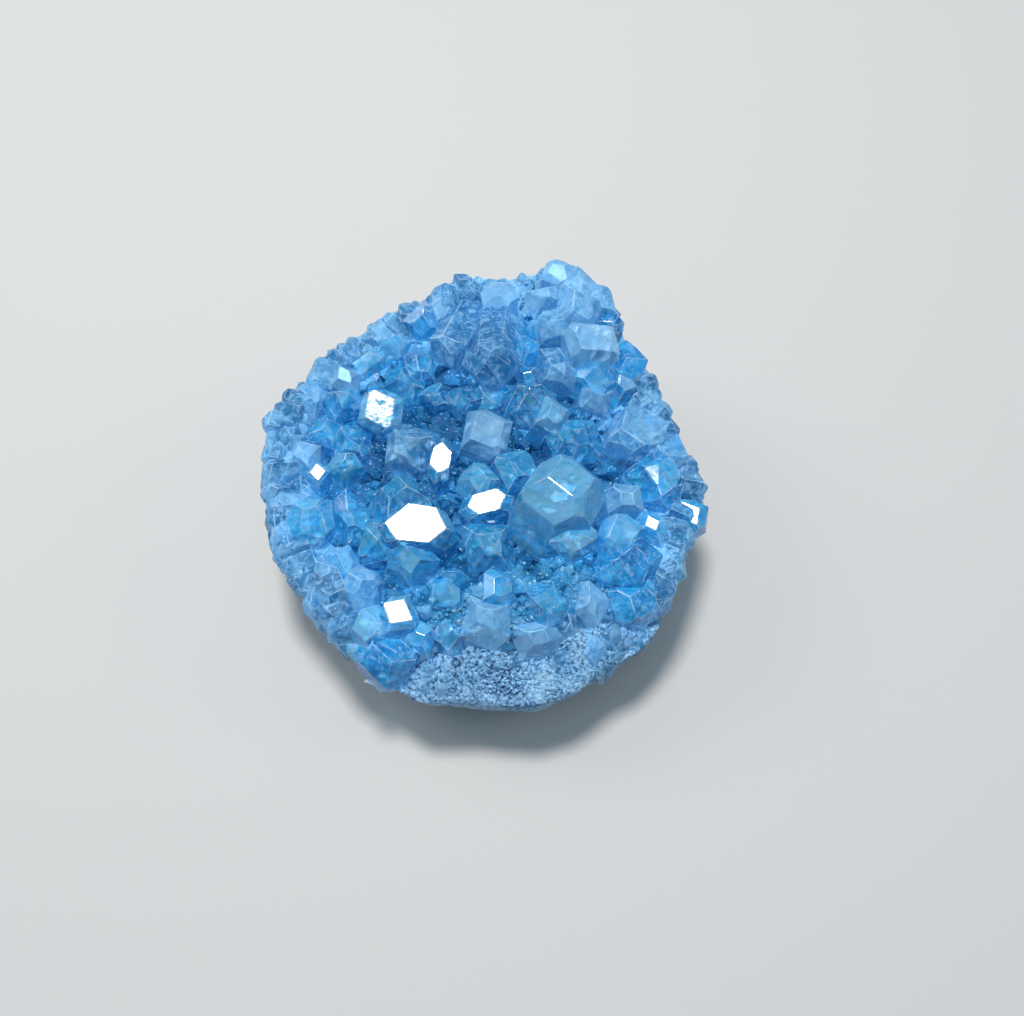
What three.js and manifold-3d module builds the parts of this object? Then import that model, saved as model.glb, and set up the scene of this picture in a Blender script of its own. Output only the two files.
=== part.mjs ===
// A celestite cluster: a shallow bowl of blue crystals on the loose piece of rock they grew on.
// Millimetres, +Z up. The origin is the middle of the flat foot that the rock rests on.
// X runs to the right and Y to the back, with the bare rock band of the rim at the front.

import * as THREE from "three";
import { ConvexGeometry } from "three/addons/geometries/ConvexGeometry.js";
import { mergeVertices } from "three/addons/utils/BufferGeometryUtils.js";
import Module from "manifold-3d";

const wasm = await Module();
wasm.setup();

// Rock and crust, in millimetres and degrees
const FOOT_RADIUS = 23;
const FOOT_WOBBLE = 1.6;
const RIM_HEIGHT = 21.5;
const RIM_RISE = 4.5;
const RIM_HIGH_SIDE = 95;
const CRUST = 5;
const BED_DEPTH = 11;
const BOWL_FLOOR = 8;
const SEAM = 0.4;
const FLANK_LUMP = 2.6;
const ROCK_SEGMENTS = 52;
const BED_SEGMENTS = 36;

// The bare rock band at the front
const BAND_MIDDLE = -77;
const BAND_HALF = 22;
const BAND_FADE = 20;
const BAND_START = 0.72;
const BAND_TOP = 17.5;
const BAND_EDGE = 13.2;

// The mound under the high crystals at the back right
const MOUND = { x: 17.5, y: 30, reach: 17, height: 8 };

// Radius of the rim by direction in degrees
const RIM = [
  [-180, 38],
  [-158, 38],
  [-140, 36.8],
  [-122, 38],
  [-103, 40],
  [-88, 39.6],
  [-72, 41.4],
  [-48, 40.6],
  [-24, 38.2],
  [-3, 39],
  [14, 35.4],
  [38, 35.8],
  [60, 39],
  [76, 41],
  [92, 40],
  [108, 36.2],
  [128, 36],
  [147, 36.4],
  [166, 39.4],
];

// Crystal habit: a rhombic prism whose blunt edges are cut flat, with an end that slopes in to the cap
const PRISM_ANGLES = [38, 142, 218, 322];
const FLAT_ANGLES = [90, 270];
const PLAIN_BELOW = 6.6;
const SIDE_JITTER = 5;
const REACH_JITTER = 0.12;
const SLOPE_JITTER = 9;
const ROOT_DEPTH = 3;
const ROOT_STEP = 0.5;
const LONGEST = 24;

// The crystals that a look at the cluster picks out. head is the middle of the cap, wide and deep are the
// widths of the prism, tilt and toward are the lean of its axis, twist turns it about its axis, and cap is
// the share of the prism that the flat end keeps.
const CRYSTALS = [
  // Middle
  { head: [15.2, -5.2, 29.8], wide: 16.5, deep: 12.5, tilt: 22, toward: 48, twist: 10, cap: 0.54, slope: 42 },
  { head: [15.4, -15, 26], wide: 8.5, deep: 8.5, tilt: 30, toward: -80, twist: 90, cap: 0.5, slope: 40 },
  { head: [1.4, 5.4, 27], wide: 10.5, deep: 9.5, tilt: 18, toward: -70, twist: 30, cap: 0.62, slope: 40 },
  { head: [8.4, 9.5, 27.5], wide: 9.5, deep: 8.5, tilt: 40, toward: -95, twist: 0, cap: 0.45, slope: 44 },
  { head: [13, 7.2, 29], wide: 6.5, deep: 5.5, tilt: 18, toward: -40, twist: 20, cap: 0.54, slope: 37 },
  { head: [16.6, 4.2, 27], wide: 10.5, deep: 9.5, tilt: 16, toward: -60, twist: 60, cap: 0.33, slope: 46 },
  { head: [-6.8, 0.5, 26], wide: 8.5, deep: 3.6, tilt: 6.8, toward: -100, twist: 80, cap: 0.62, slope: 38 },
  { head: [-0.5, -3.1, 25], wide: 9.5, deep: 8, tilt: 14, toward: 200, twist: 10, cap: 0.37, slope: 44 },
  { head: [7, -1, 26], wide: 9.5, deep: 8, tilt: 17, toward: -20, twist: 70, cap: 0.41, slope: 42 },
  { head: [1.3, -7.6, 25.3], wide: 10, deep: 3.8, tilt: 6, toward: -115, twist: 15, cap: 0.66, slope: 38 },
  { head: [-10.5, -12.4, 27], wide: 13.5, deep: 6.4, tilt: 5, toward: -94, twist: -8, cap: 0.68, slope: 36 },
  { head: [-14.5, -4.5, 24.8], wide: 13, deep: 10, tilt: 22, toward: 120, twist: -10, cap: 0.35, slope: 38 },
  { head: [-17.5, -12.5, 24], wide: 9.5, deep: 9, tilt: 14, toward: 170, twist: 40, cap: 0.41, slope: 42 },
  { head: [-22.6, -10.3, 24], wide: 8.5, deep: 7.5, tilt: 16, toward: 200, twist: 60, cap: 0.4, slope: 42 },
  { head: [-11.8, -18.3, 24.3], wide: 11, deep: 8.5, tilt: 22, toward: -100, twist: 5, cap: 0.4, slope: 40 },
  { head: [1.4, -15.2, 25.2], wide: 11, deep: 10, tilt: 15, toward: -85, twist: 48, cap: 0.4, slope: 38 },
  { head: [-22.5, -6, 22], wide: 7.5, deep: 7, tilt: 16, toward: 0, twist: 15, cap: 0.41, slope: 42 },
  { head: [-23, -1.5, 26], wide: 7, deep: 6, tilt: 24, toward: -90, twist: 0, cap: 0.33, slope: 52 },
  { head: [-17.5, 10, 27], wide: 10, deep: 7.5, tilt: 12, toward: -78, twist: 25, cap: 0.66, slope: 38 },
  { head: [-13, 4, 24.3], wide: 11.5, deep: 9.5, tilt: 20, toward: -120, twist: 30, cap: 0.4, slope: 38 },
  // Left
  { head: [-29, -11, 24.8], wide: 10, deep: 8.5, tilt: 20, toward: -110, twist: 50, cap: 0.5, slope: 42 },
  { head: [-27.5, -2.2, 26], wide: 4.2, deep: 3.6, tilt: 7, toward: -66, twist: 10, cap: 0.62, slope: 40 },
  { head: [-24, 12.5, 25.5], wide: 8.5, deep: 7.5, tilt: 17, toward: -60, twist: 70, cap: 0.41, slope: 42 },
  { head: [-26, 6.5, 25], wide: 8.5, deep: 7.5, tilt: 15, toward: -30, twist: 20, cap: 0.41, slope: 40 },
  { head: [-22.1, 4, 25.5], wide: 7.5, deep: 6.5, tilt: 18, toward: -70, twist: 40, cap: 0.4, slope: 42 },
  { head: [-29, 13.5, 25], wide: 6.5, deep: 6, tilt: 16, toward: -45, twist: 5, cap: 0.37, slope: 42 },
  { head: [-24, 17, 26.5], wide: 6, deep: 4.5, tilt: 12, toward: -70, twist: 30, cap: 0.41, slope: 38 },
  { head: [-19.5, 20, 26], wide: 9.5, deep: 4, tilt: 30, toward: -60, twist: 35, cap: 0.41, slope: 42 },
  { head: [-15.5, 22.5, 26.5], wide: 8, deep: 4, tilt: 34, toward: -60, twist: 25, cap: 0.41, slope: 42 },
  { head: [-31, 3, 24.3], wide: 7, deep: 6, tilt: 18, toward: 170, twist: 25, cap: 0.41, slope: 40 },
  { head: [-34.5, -5, 21.5], wide: 6.5, deep: 6, tilt: 22, toward: 190, twist: 0, cap: 0.41, slope: 42 },
  { head: [-33.5, -11.5, 20.5], wide: 7, deep: 6, tilt: 26, toward: 200, twist: 35, cap: 0.41, slope: 42 },
  { head: [-34.5, 8.5, 23.3], wide: 6.5, deep: 6, tilt: 20, toward: 160, twist: 15, cap: 0.41, slope: 42 },
  // Back
  { head: [1.5, 15.6, 28.2], wide: 11, deep: 8.5, tilt: 68, toward: -93, twist: 0, cap: 0.5, slope: 40 },
  { head: [-6.2, 19.3, 27.4], wide: 8.5, deep: 7.5, tilt: 68, toward: -106, twist: 20, cap: 0.35, slope: 46 },
  { head: [-10.5, 19.5, 25.5], wide: 6.5, deep: 6, tilt: 28, toward: -60, twist: 45, cap: 0.33, slope: 46 },
  { head: [-13.5, 15.5, 25.5], wide: 8.5, deep: 7, tilt: 22, toward: -80, twist: 10, cap: 0.41, slope: 40 },
  { head: [7.6, 19.5, 28.5], wide: 6, deep: 5.5, tilt: 55, toward: -100, twist: 30, cap: 0.37, slope: 42 },
  { head: [8.4, 17, 25.5], wide: 6.5, deep: 6, tilt: 40, toward: -90, twist: 60, cap: 0.37, slope: 42 },
  { head: [-8.4, 13.7, 23.8], wide: 6.5, deep: 5.5, tilt: 30, toward: -80, twist: 74, cap: 0.4, slope: 42 },
  { head: [-3.3, 13.2, 23], wide: 7, deep: 6, tilt: 34, toward: -100, twist: 13, cap: 0.4, slope: 42 },
  { head: [2.0, 14.2, 22.6], wide: 7.5, deep: 6.5, tilt: 30, toward: -70, twist: 43, cap: 0.4, slope: 42 },
  { head: [-12.3, 15.7, 24.2], wide: 6, deep: 5, tilt: 26, toward: -60, twist: 52, cap: 0.4, slope: 42 },
  { head: [-17.5, 28, 26], wide: 7, deep: 6, tilt: 12, toward: 120, twist: 30, cap: 0.41, slope: 42 },
  { head: [-7.5, 32.5, 27], wide: 7.5, deep: 6.5, tilt: 14, toward: 100, twist: 10, cap: 0.41, slope: 40 },
  { head: [3, 34.5, 28.3], wide: 8, deep: 6.5, tilt: 12, toward: 90, twist: 50, cap: 0.41, slope: 42 },
  // High crystals at the back right
  { head: [13.5, 35.2, 33.5], wide: 7, deep: 6, tilt: 8, toward: 110, twist: 20, cap: 0.35, slope: 44 },
  { head: [17.3, 32.6, 34.3], wide: 8.5, deep: 7.5, tilt: 10, toward: 60, twist: 0, cap: 0.42, slope: 42 },
  { head: [21.5, 30.5, 33], wide: 6.5, deep: 6, tilt: 18, toward: 30, twist: 40, cap: 0.4, slope: 42 },
  { head: [17.7, 26.8, 34], wide: 10.5, deep: 9.5, tilt: 16, toward: -40, twist: 30, cap: 0.45, slope: 44 },
  { head: [10.5, 29.8, 32.3], wide: 8.5, deep: 7.5, tilt: 20, toward: 190, twist: 55, cap: 0.41, slope: 40 },
  { head: [23.6, 25.8, 30.8], wide: 6.5, deep: 6, tilt: 22, toward: 0, twist: 15, cap: 0.37, slope: 42 },
  { head: [19.5, 18.9, 34.6], wide: 10.5, deep: 9.5, tilt: 15, toward: -75, twist: 52, cap: 0.67, slope: 32 },
  { head: [20, 13.8, 29.5], wide: 10.5, deep: 7, tilt: 38, toward: -85, twist: 0, cap: 0.45, slope: 40 },
  { head: [27.2, 18.8, 29], wide: 10, deep: 5, tilt: 30, toward: -15, twist: 95, cap: 0.41, slope: 42 },
  { head: [25.3, 14.5, 27.8], wide: 8.5, deep: 5, tilt: 30, toward: -30, twist: 80, cap: 0.41, slope: 42 },
  { head: [20, 11, 28], wide: 6.5, deep: 6, tilt: 30, toward: -80, twist: 30, cap: 0.4, slope: 42 },
  { head: [14.7, 13.4, 29], wide: 8.5, deep: 7.5, tilt: 62, toward: -72, twist: 20, cap: 0.35, slope: 46 },
  { head: [13, 23, 32], wide: 8.5, deep: 8, tilt: 26, toward: -100, twist: 50, cap: 0.41, slope: 42 },
  // Front left
  { head: [-18.6, -28.2, 21.8], wide: 9.5, deep: 7, tilt: 20, toward: -125, twist: 10, cap: 0.55, slope: 36 },
  { head: [-13, -26.8, 23.5], wide: 7.5, deep: 6.5, tilt: 2, toward: -86, twist: 60, cap: 0.64, slope: 40 },
  { head: [-16.4, -34.2, 18.8], wide: 12.5, deep: 10.5, tilt: 34, toward: -112, twist: 10, cap: 0.5, slope: 38 },
  { head: [-6.4, -22.5, 23.5], wide: 7, deep: 6.5, tilt: 14, toward: -150, twist: 45, cap: 0.41, slope: 40 },
  { head: [-9.8, -29.8, 20.8], wide: 6, deep: 5, tilt: 20, toward: -110, twist: 20, cap: 0.41, slope: 42 },
  { head: [-5, -29.5, 20], wide: 9.5, deep: 7.5, tilt: 26, toward: -100, twist: 0, cap: 0.45, slope: 38 },
  { head: [-26.5, -18.6, 21.8], wide: 7.5, deep: 6.5, tilt: 16, toward: 215, twist: 30, cap: 0.41, slope: 42 },
  { head: [-21, -21.5, 22.5], wide: 8, deep: 7, tilt: 18, toward: -130, twist: 20, cap: 0.4, slope: 42 },
  { head: [-28, -23, 19], wide: 7, deep: 6, tilt: 24, toward: 220, twist: 0, cap: 0.41, slope: 42 },
  { head: [-24, -27, 18], wide: 7, deep: 6, tilt: 26, toward: 225, twist: 50, cap: 0.41, slope: 42 },
  // Front
  { head: [1.1, -27.4, 22.5], wide: 11, deep: 9.5, tilt: 18, toward: -100, twist: 35, cap: 0.33, slope: 46 },
  { head: [9.9, -30, 20.8], wide: 9.5, deep: 8, tilt: 22, toward: -75, twist: 60, cap: 0.33, slope: 46 },
  { head: [11.9, -25, 23.2], wide: 10.5, deep: 9.5, tilt: 16, toward: -60, twist: 80, cap: 0.45, slope: 38 },
  { head: [3.7, -22.5, 23.8], wide: 7.5, deep: 6.5, tilt: 22, toward: -20, twist: 40, cap: 0.57, slope: 34 },
  { head: [18.8, -24.7, 22], wide: 8, deep: 7.5, tilt: 22, toward: -60, twist: 15, cap: 0.34, slope: 46 },
  { head: [25.3, -18.2, 23], wide: 13, deep: 8.5, tilt: 24, toward: -75, twist: 15, cap: 0.54, slope: 36 },
  { head: [27.3, -23.6, 20.3], wide: 10.5, deep: 8, tilt: 24, toward: -40, twist: -15, cap: 0.49, slope: 36 },
  { head: [19, -31, 16], wide: 7, deep: 6, tilt: 30, toward: -60, twist: 10, cap: 0.37, slope: 42 },
  // Right
  { head: [23.7, -12.6, 24], wide: 9.5, deep: 7.5, tilt: 14, toward: -100, twist: 10, cap: 0.45, slope: 38 },
  { head: [24.8, -6.9, 25.3], wide: 8, deep: 7, tilt: 17, toward: -60, twist: 50, cap: 0.37, slope: 44 },
  { head: [28.5, 8, 24.6], wide: 13, deep: 9, tilt: 18, toward: 30, twist: 20, cap: 0.7, slope: 36 },
  { head: [32.6, 4.6, 23.4], wide: 10, deep: 8, tilt: 22, toward: 20, twist: 60, cap: 0.6, slope: 40 },
  { head: [31.8, -1.6, 23.8], wide: 14, deep: 10, tilt: 20, toward: -10, twist: -15, cap: 0.5, slope: 36 },
  { head: [35.5, -7.6, 21.2], wide: 7, deep: 6, tilt: 10, toward: -149, twist: 30, cap: 0.55, slope: 42 },
  { head: [29, -10.2, 22.6], wide: 6, deep: 5, tilt: 9, toward: -148, twist: 20, cap: 0.46, slope: 42 },
  { head: [33, -15.5, 18.5], wide: 7.5, deep: 6.5, tilt: 20, toward: -20, twist: 40, cap: 0.41, slope: 42 },
];

// Small crystals between the large ones, and smaller ones along the rim
const FILL = { seed: 41, count: 90, inner: 0.1, outer: 0.84, wide: [4.5, 7], rise: [2.5, 5.5], focus: 62 };
const FRINGE = { seed: 77, count: 66, inner: 0.84, outer: 0.91, wide: [3.5, 5.5], rise: [1.2, 2.4], focus: 200 };
const CLEAR_OF_NAMED = 0.34;
const GOLDEN_TURN = 137.508;
const LEAN_JITTER = 16;

const ROCK_COLOUR = 0xbfc4c2;
const CRYSTAL_COLOUR = 0x8fc3e6;

const radians = THREE.MathUtils.degToRad;
const mix = THREE.MathUtils.lerp;
const smooth = THREE.MathUtils.smoothstep;

// A small seeded generator, so that the part is the same each time
function seeded(seed) {
  let state = seed;
  return () => {
    state = (state + 0x6d2b79f5) | 0;
    let t = Math.imul(state ^ (state >>> 15), state | 1);
    t = (t + Math.imul(t ^ (t >>> 7), t | 61)) ^ t;
    return ((t ^ (t >>> 14)) >>> 0) / 4294967296;
  };
}

// Degrees brought into the range from -180 to 180
function wrap(degrees) {
  return ((((degrees + 180) % 360) + 360) % 360) - 180;
}

// Radius of the rim in a direction, eased between the points of RIM
function rimRadius(degrees) {
  const angle = wrap(degrees);
  const next = RIM.findIndex(([at]) => at > angle);
  const [a1, r1] = next < 0 ? [RIM[0][0] + 360, RIM[0][1]] : RIM[next];
  const [a0, r0] = next < 0 ? RIM[RIM.length - 1] : RIM[next - 1];
  const share = (1 - Math.cos((Math.PI * (angle - a0)) / (a1 - a0))) / 2;
  return mix(r0, r1, share);
}

function rimHeight(degrees) {
  return RIM_HEIGHT + RIM_RISE * Math.cos(radians(degrees - RIM_HIGH_SIDE));
}

// 1 in the middle of the bare rock band at the front, 0 away from it
function bandShare(degrees) {
  const off = Math.abs(wrap(degrees - BAND_MIDDLE));
  return 1 - smooth(off, BAND_HALF, BAND_HALF + BAND_FADE);
}

// Height of the widest part of the flank
function bulgeHeight(degrees) {
  return mix(rimHeight(degrees) - CRUST, BAND_EDGE, bandShare(degrees));
}

// Top of the rock, at a share of the rim's radius: a bowl, with a bevel at the front band
function rockTop(share, degrees) {
  const bowl = mix(BOWL_FLOOR, bulgeHeight(degrees), share * share);
  const rise = mix(BOWL_FLOOR, BAND_TOP, Math.min(1, share / BAND_START) ** 2);
  const bevel = mix(BAND_TOP, BAND_EDGE, Math.max(0, share - BAND_START) / (1 - BAND_START));
  return mix(bowl, share < BAND_START ? rise : bevel, bandShare(degrees));
}

function mound(x, y) {
  const far = Math.hypot(x - MOUND.x, y - MOUND.y) / MOUND.reach;
  return far < 1 ? MOUND.height * (1 - smooth(far, 0, 1)) : 0;
}

// Share of the rim's radius that the crystal bed covers
function bedReach(degrees) {
  return mix(1, BAND_START + 0.06, bandShare(degrees));
}

// Top of the massive bed that the crystals stand on
function bedTop(x, y) {
  const degrees = THREE.MathUtils.radToDeg(Math.atan2(y, x));
  const share = Math.hypot(x, y) / rimRadius(degrees);
  if (share > bedReach(degrees)) return -Infinity;
  const thin = bandShare(degrees) * smooth(share, BAND_START - 0.14, BAND_START + 0.06);
  return rockTop(share, degrees) + mix(mix(BED_DEPTH, CRUST, share), 1.2, thin) + mound(x, y);
}

// Slow bumps of the rock's skin, between -1 and 1
function skinLump(degrees, height) {
  const turn = radians(degrees);
  const broad = Math.sin(5 * turn + 0.22 * height + 0.8);
  const middle = Math.sin(11 * turn - 0.35 * height + 2.1);
  const fine = Math.sin(19 * turn + 0.5 * height + 4.4);
  return 0.45 * broad + 0.35 * middle + 0.2 * fine;
}

// A closed solid of profiles that turn about Z. Each runs from the middle of the underside outwards, up the
// flank and back to the middle of the top, as [radius, height] pairs.
function turnedSolid(segments, profileAt) {
  const rows = [];
  for (let i = 0; i < segments; i++) rows.push(profileAt((360 * i) / segments));
  const last = rows[0].length - 1;
  const points = [0, 0, rows[0][0][1], 0, 0, rows[0][last][1]];
  rows.forEach((row, i) => {
    const turn = (2 * Math.PI * i) / segments;
    row.slice(1, last).forEach(([r, z]) => points.push(r * Math.cos(turn), r * Math.sin(turn), z));
  });
  const ring = last - 1;
  const at = (i, j) => 2 + (i % segments) * ring + j;
  const faces = [];
  for (let i = 0; i < segments; i++) {
    faces.push(0, at(i + 1, 0), at(i, 0));
    for (let j = 0; j + 1 < ring; j++) {
      faces.push(at(i, j), at(i + 1, j), at(i + 1, j + 1));
      faces.push(at(i, j), at(i + 1, j + 1), at(i, j + 1));
    }
    faces.push(at(i, ring - 1), at(i + 1, ring - 1), 1);
  }
  const geometry = new THREE.BufferGeometry();
  geometry.setAttribute("position", new THREE.Float32BufferAttribute(points, 3));
  geometry.setIndex(faces);
  return solidOf(geometry);
}

function solidOf(geometry) {
  geometry.deleteAttribute("normal");
  geometry.deleteAttribute("uv");
  const merged = mergeVertices(geometry, 1e-4);
  const mesh = new wasm.Mesh({
    numProp: 3,
    vertProperties: merged.attributes.position.array,
    triVerts: new Uint32Array(merged.index.array),
  });
  return new wasm.Manifold(mesh);
}

// The rock, or a copy of it grown by a margin that serves as the cutter for the seam
function rockSolid(margin) {
  const flankTurns = [16, 34, 52, 70, 90];
  const topShares = [0.92, 0.82, 0.72, 0.45];
  return turnedSolid(ROCK_SEGMENTS, (degrees) => {
    const rim = rimRadius(degrees);
    const foot = FOOT_RADIUS + FOOT_WOBBLE * Math.sin(radians(3 * degrees + 40));
    const bulge = bulgeHeight(degrees);
    const flank = flankTurns.map((step) => {
      const height = bulge * (1 - Math.cos(radians(step)));
      const out = Math.sin(radians(step));
      const lump = FLANK_LUMP * skinLump(degrees, height) * out * (1.35 - out);
      return [mix(foot, rim, out) + lump - 0.6 + margin, height + margin * out];
    });
    const top = topShares.map((share) => {
      const roll = 1.2 * bandShare(degrees) * skinLump(2 * degrees, 30 * share);
      return [rim * share, rockTop(share, degrees) + roll * smooth(share, 0.7, 0.8) + margin];
    });
    return [[0, -margin], [foot + margin, -margin], ...flank, ...top, [0, BOWL_FLOOR + margin]];
  });
}

// The massive celestite under the crystals, which comes out at the rim as a crust
function bedSolid() {
  const shares = [0.33, 0.62, 0.83, 0.94];
  return turnedSolid(BED_SEGMENTS, (degrees) => {
    const edge = rimRadius(degrees) * bedReach(degrees);
    const topAt = (share) => {
      const x = edge * share * Math.cos(radians(degrees));
      const y = edge * share * Math.sin(radians(degrees));
      return bedTop(x, y);
    };
    const under = shares.map((share) => [edge * share, rockTop(share * bedReach(degrees), degrees) - 0.6]);
    const low = rockTop(bedReach(degrees), degrees) - 0.6;
    const lump = 0.5 * skinLump(degrees, 24);
    const side = [
      [edge + lump - 0.4, low],
      [edge + lump + 0.1, mix(low, topAt(0.97), 0.5)],
      [edge + lump - 0.7, topAt(0.97) - 0.5],
    ];
    const over = shares.toReversed().map((share) => [edge * share, topAt(share)]);
    return [[0, BOWL_FLOOR - 0.6], ...under, ...side, ...over, [0, bedTop(0, 0)]];
  });
}

// The unit vector of an axis that leans from upright by tilt, toward a direction
function leaning(tilt, toward) {
  const flat = Math.sin(radians(tilt));
  return new THREE.Vector3(
    flat * Math.cos(radians(toward)),
    flat * Math.sin(radians(toward)),
    Math.cos(radians(tilt)),
  );
}

// How far a crystal runs down from its cap before it is rooted in the bed
function rootLength(head, axis) {
  let entered = bedTop(head.x, head.y) > -Infinity;
  for (let length = 2; length < LONGEST; length += ROOT_STEP) {
    const top = bedTop(head.x - axis.x * length, head.y - axis.y * length);
    if (head.z - axis.z * length < top - ROOT_DEPTH) return length;
    if (entered && top === -Infinity) return length;
    entered = top > -Infinity;
  }
  return LONGEST;
}

// The flat faces of a crystal in its own frame, cap in the plane z = 0 and root below, as [normal, distance]
function crystalFaces({ wide, deep, cap, slope }, length, random) {
  const faces = [
    [new THREE.Vector3(0, 0, 1), 0],
    [new THREE.Vector3(0, 0, -1), length],
  ];
  const jitter = (span) => span * (2 * random() - 1);
  for (const angle of PRISM_ANGLES) {
    const turn = radians(angle + jitter(SIDE_JITTER));
    const reach = (wide / 2) * Math.cos(radians(PRISM_ANGLES[0])) * (1 + jitter(REACH_JITTER));
    const rise = radians(slope + jitter(SLOPE_JITTER));
    const keep = cap * (1 + jitter(REACH_JITTER));
    const side = new THREE.Vector3(Math.cos(turn), Math.sin(turn), 0);
    const end = side.clone().multiplyScalar(Math.cos(rise)).setZ(Math.sin(rise));
    faces.push([side, reach], [end, keep * reach * Math.cos(rise)]);
  }
  for (const angle of wide < PLAIN_BELOW ? [] : FLAT_ANGLES) {
    const turn = radians(angle + jitter(SIDE_JITTER));
    const side = new THREE.Vector3(Math.cos(turn), Math.sin(turn), 0);
    faces.push([side, (deep / 2) * (1 + jitter(REACH_JITTER))]);
  }
  return faces;
}

// The corners where three faces meet and no other face cuts the meeting point off
function cornersOf(faces) {
  const corners = [];
  const across = new THREE.Vector3();
  for (let i = 0; i < faces.length; i++)
    for (let j = i + 1; j < faces.length; j++)
      for (let k = j + 1; k < faces.length; k++) {
        const [[a, da], [b, db], [c, dc]] = [faces[i], faces[j], faces[k]];
        const det = a.dot(across.crossVectors(b, c));
        if (Math.abs(det) < 1e-6) continue;
        const point = new THREE.Vector3()
          .addScaledVector(new THREE.Vector3().crossVectors(b, c), da)
          .addScaledVector(new THREE.Vector3().crossVectors(c, a), db)
          .addScaledVector(new THREE.Vector3().crossVectors(a, b), dc)
          .divideScalar(det);
        if (faces.every(([n, d]) => n.dot(point) < d + 1e-5)) corners.push(point);
      }
  return corners;
}

function crystalSolid(crystal, random) {
  const head = new THREE.Vector3(...crystal.head);
  const axis = leaning(crystal.tilt, crystal.toward);
  const corners = cornersOf(crystalFaces(crystal, rootLength(head, axis), random));
  const lean = new THREE.Quaternion().setFromUnitVectors(new THREE.Vector3(0, 0, 1), axis);
  const spin = new THREE.Quaternion().setFromAxisAngle(new THREE.Vector3(0, 0, 1), radians(crystal.twist));
  const placed = corners.map((p) => p.applyQuaternion(spin).applyQuaternion(lean).add(head));
  return solidOf(new ConvexGeometry(placed));
}

// True where a small crystal would stand inside one of the listed crystals
function taken(x, y, width) {
  return CRYSTALS.some(({ head, wide }) => Math.hypot(x - head[0], y - head[1]) < CLEAR_OF_NAMED * (width + wide));
}

// Crystals of one size spread evenly over a ring of the bed, each leaning to a focus above the bowl
function spreadCrystals({ seed, count, inner, outer, wide, rise, focus }) {
  const random = seeded(seed);
  const between = ([low, high]) => mix(low, high, random());
  const made = [];
  for (let i = 0; i < count; i++) {
    const share = Math.sqrt(mix(inner * inner, outer * outer, (i + 0.5) / count));
    const turn = i * GOLDEN_TURN + 12 * (random() - 0.5);
    const far = rimRadius(turn) * bedReach(turn) * share;
    const x = far * Math.cos(radians(turn));
    const y = far * Math.sin(radians(turn));
    const z = bedTop(x, y) + between(rise);
    const width = between(wide);
    const lean = THREE.MathUtils.radToDeg(Math.atan2(far, focus - z));
    if (taken(x, y, width)) continue;
    made.push({
      head: [x, y, z],
      wide: width,
      deep: width * mix(0.65, 0.95, random()),
      tilt: lean + LEAN_JITTER * random(),
      toward: turn + 180 + 60 * (random() - 0.5),
      twist: 180 * random(),
      cap: mix(0.25, 0.6, random()),
      slope: mix(36, 48, random()),
    });
  }
  return made.map((crystal) => crystalSolid(crystal, random));
}

function crystalsSolid() {
  const random = seeded(7);
  const named = CRYSTALS.map((crystal) => crystalSolid(crystal, random));
  const grown = wasm.Manifold.union([
    bedSolid(),
    ...named,
    ...spreadCrystals(FILL),
    ...spreadCrystals(FRINGE),
  ]);
  const bodies = grown.subtract(rockSolid(SEAM)).decompose();
  const largest = bodies.reduce((a, b) => (b.volume() > a.volume() ? b : a));
  return largest.simplify(0.02);
}

function meshOf(name, solid, material) {
  const { numProp, vertProperties, triVerts } = solid.getMesh();
  const points = [];
  for (let i = 0; i < vertProperties.length; i += numProp)
    points.push(vertProperties[i], vertProperties[i + 1], vertProperties[i + 2]);
  const geometry = new THREE.BufferGeometry();
  geometry.setAttribute("position", new THREE.Float32BufferAttribute(points, 3));
  geometry.setIndex([...triVerts]);
  const mesh = new THREE.Mesh(geometry, material);
  mesh.name = name;
  return mesh;
}

const rockMaterial = new THREE.MeshStandardMaterial({
  color: ROCK_COLOUR,
  roughness: 0.85,
  metalness: 0,
  flatShading: true,
});

const crystalMaterial = new THREE.MeshStandardMaterial({
  color: CRYSTAL_COLOUR,
  roughness: 0.12,
  metalness: 0,
  transparent: true,
  opacity: 0.7,
  flatShading: true,
});

const group = new THREE.Group();
group.add(meshOf("matrix", rockSolid(0), rockMaterial));
group.add(meshOf("crystals", crystalsSolid(), crystalMaterial));

export default group;
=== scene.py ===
"""A celestite cluster: clear and frosted blue crystals on a massive bed, on the rock they grew on.

Shapes are worked out in millimetres in the part's frame (+Z up, the rock's foot on z = 0, the bare rock
band at -Y) and turned into metres when a mesh is made.
"""

import itertools
import math

import bmesh
import bpy
import numpy as np
from mathutils import Matrix, Quaternion, Vector, noise


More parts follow.
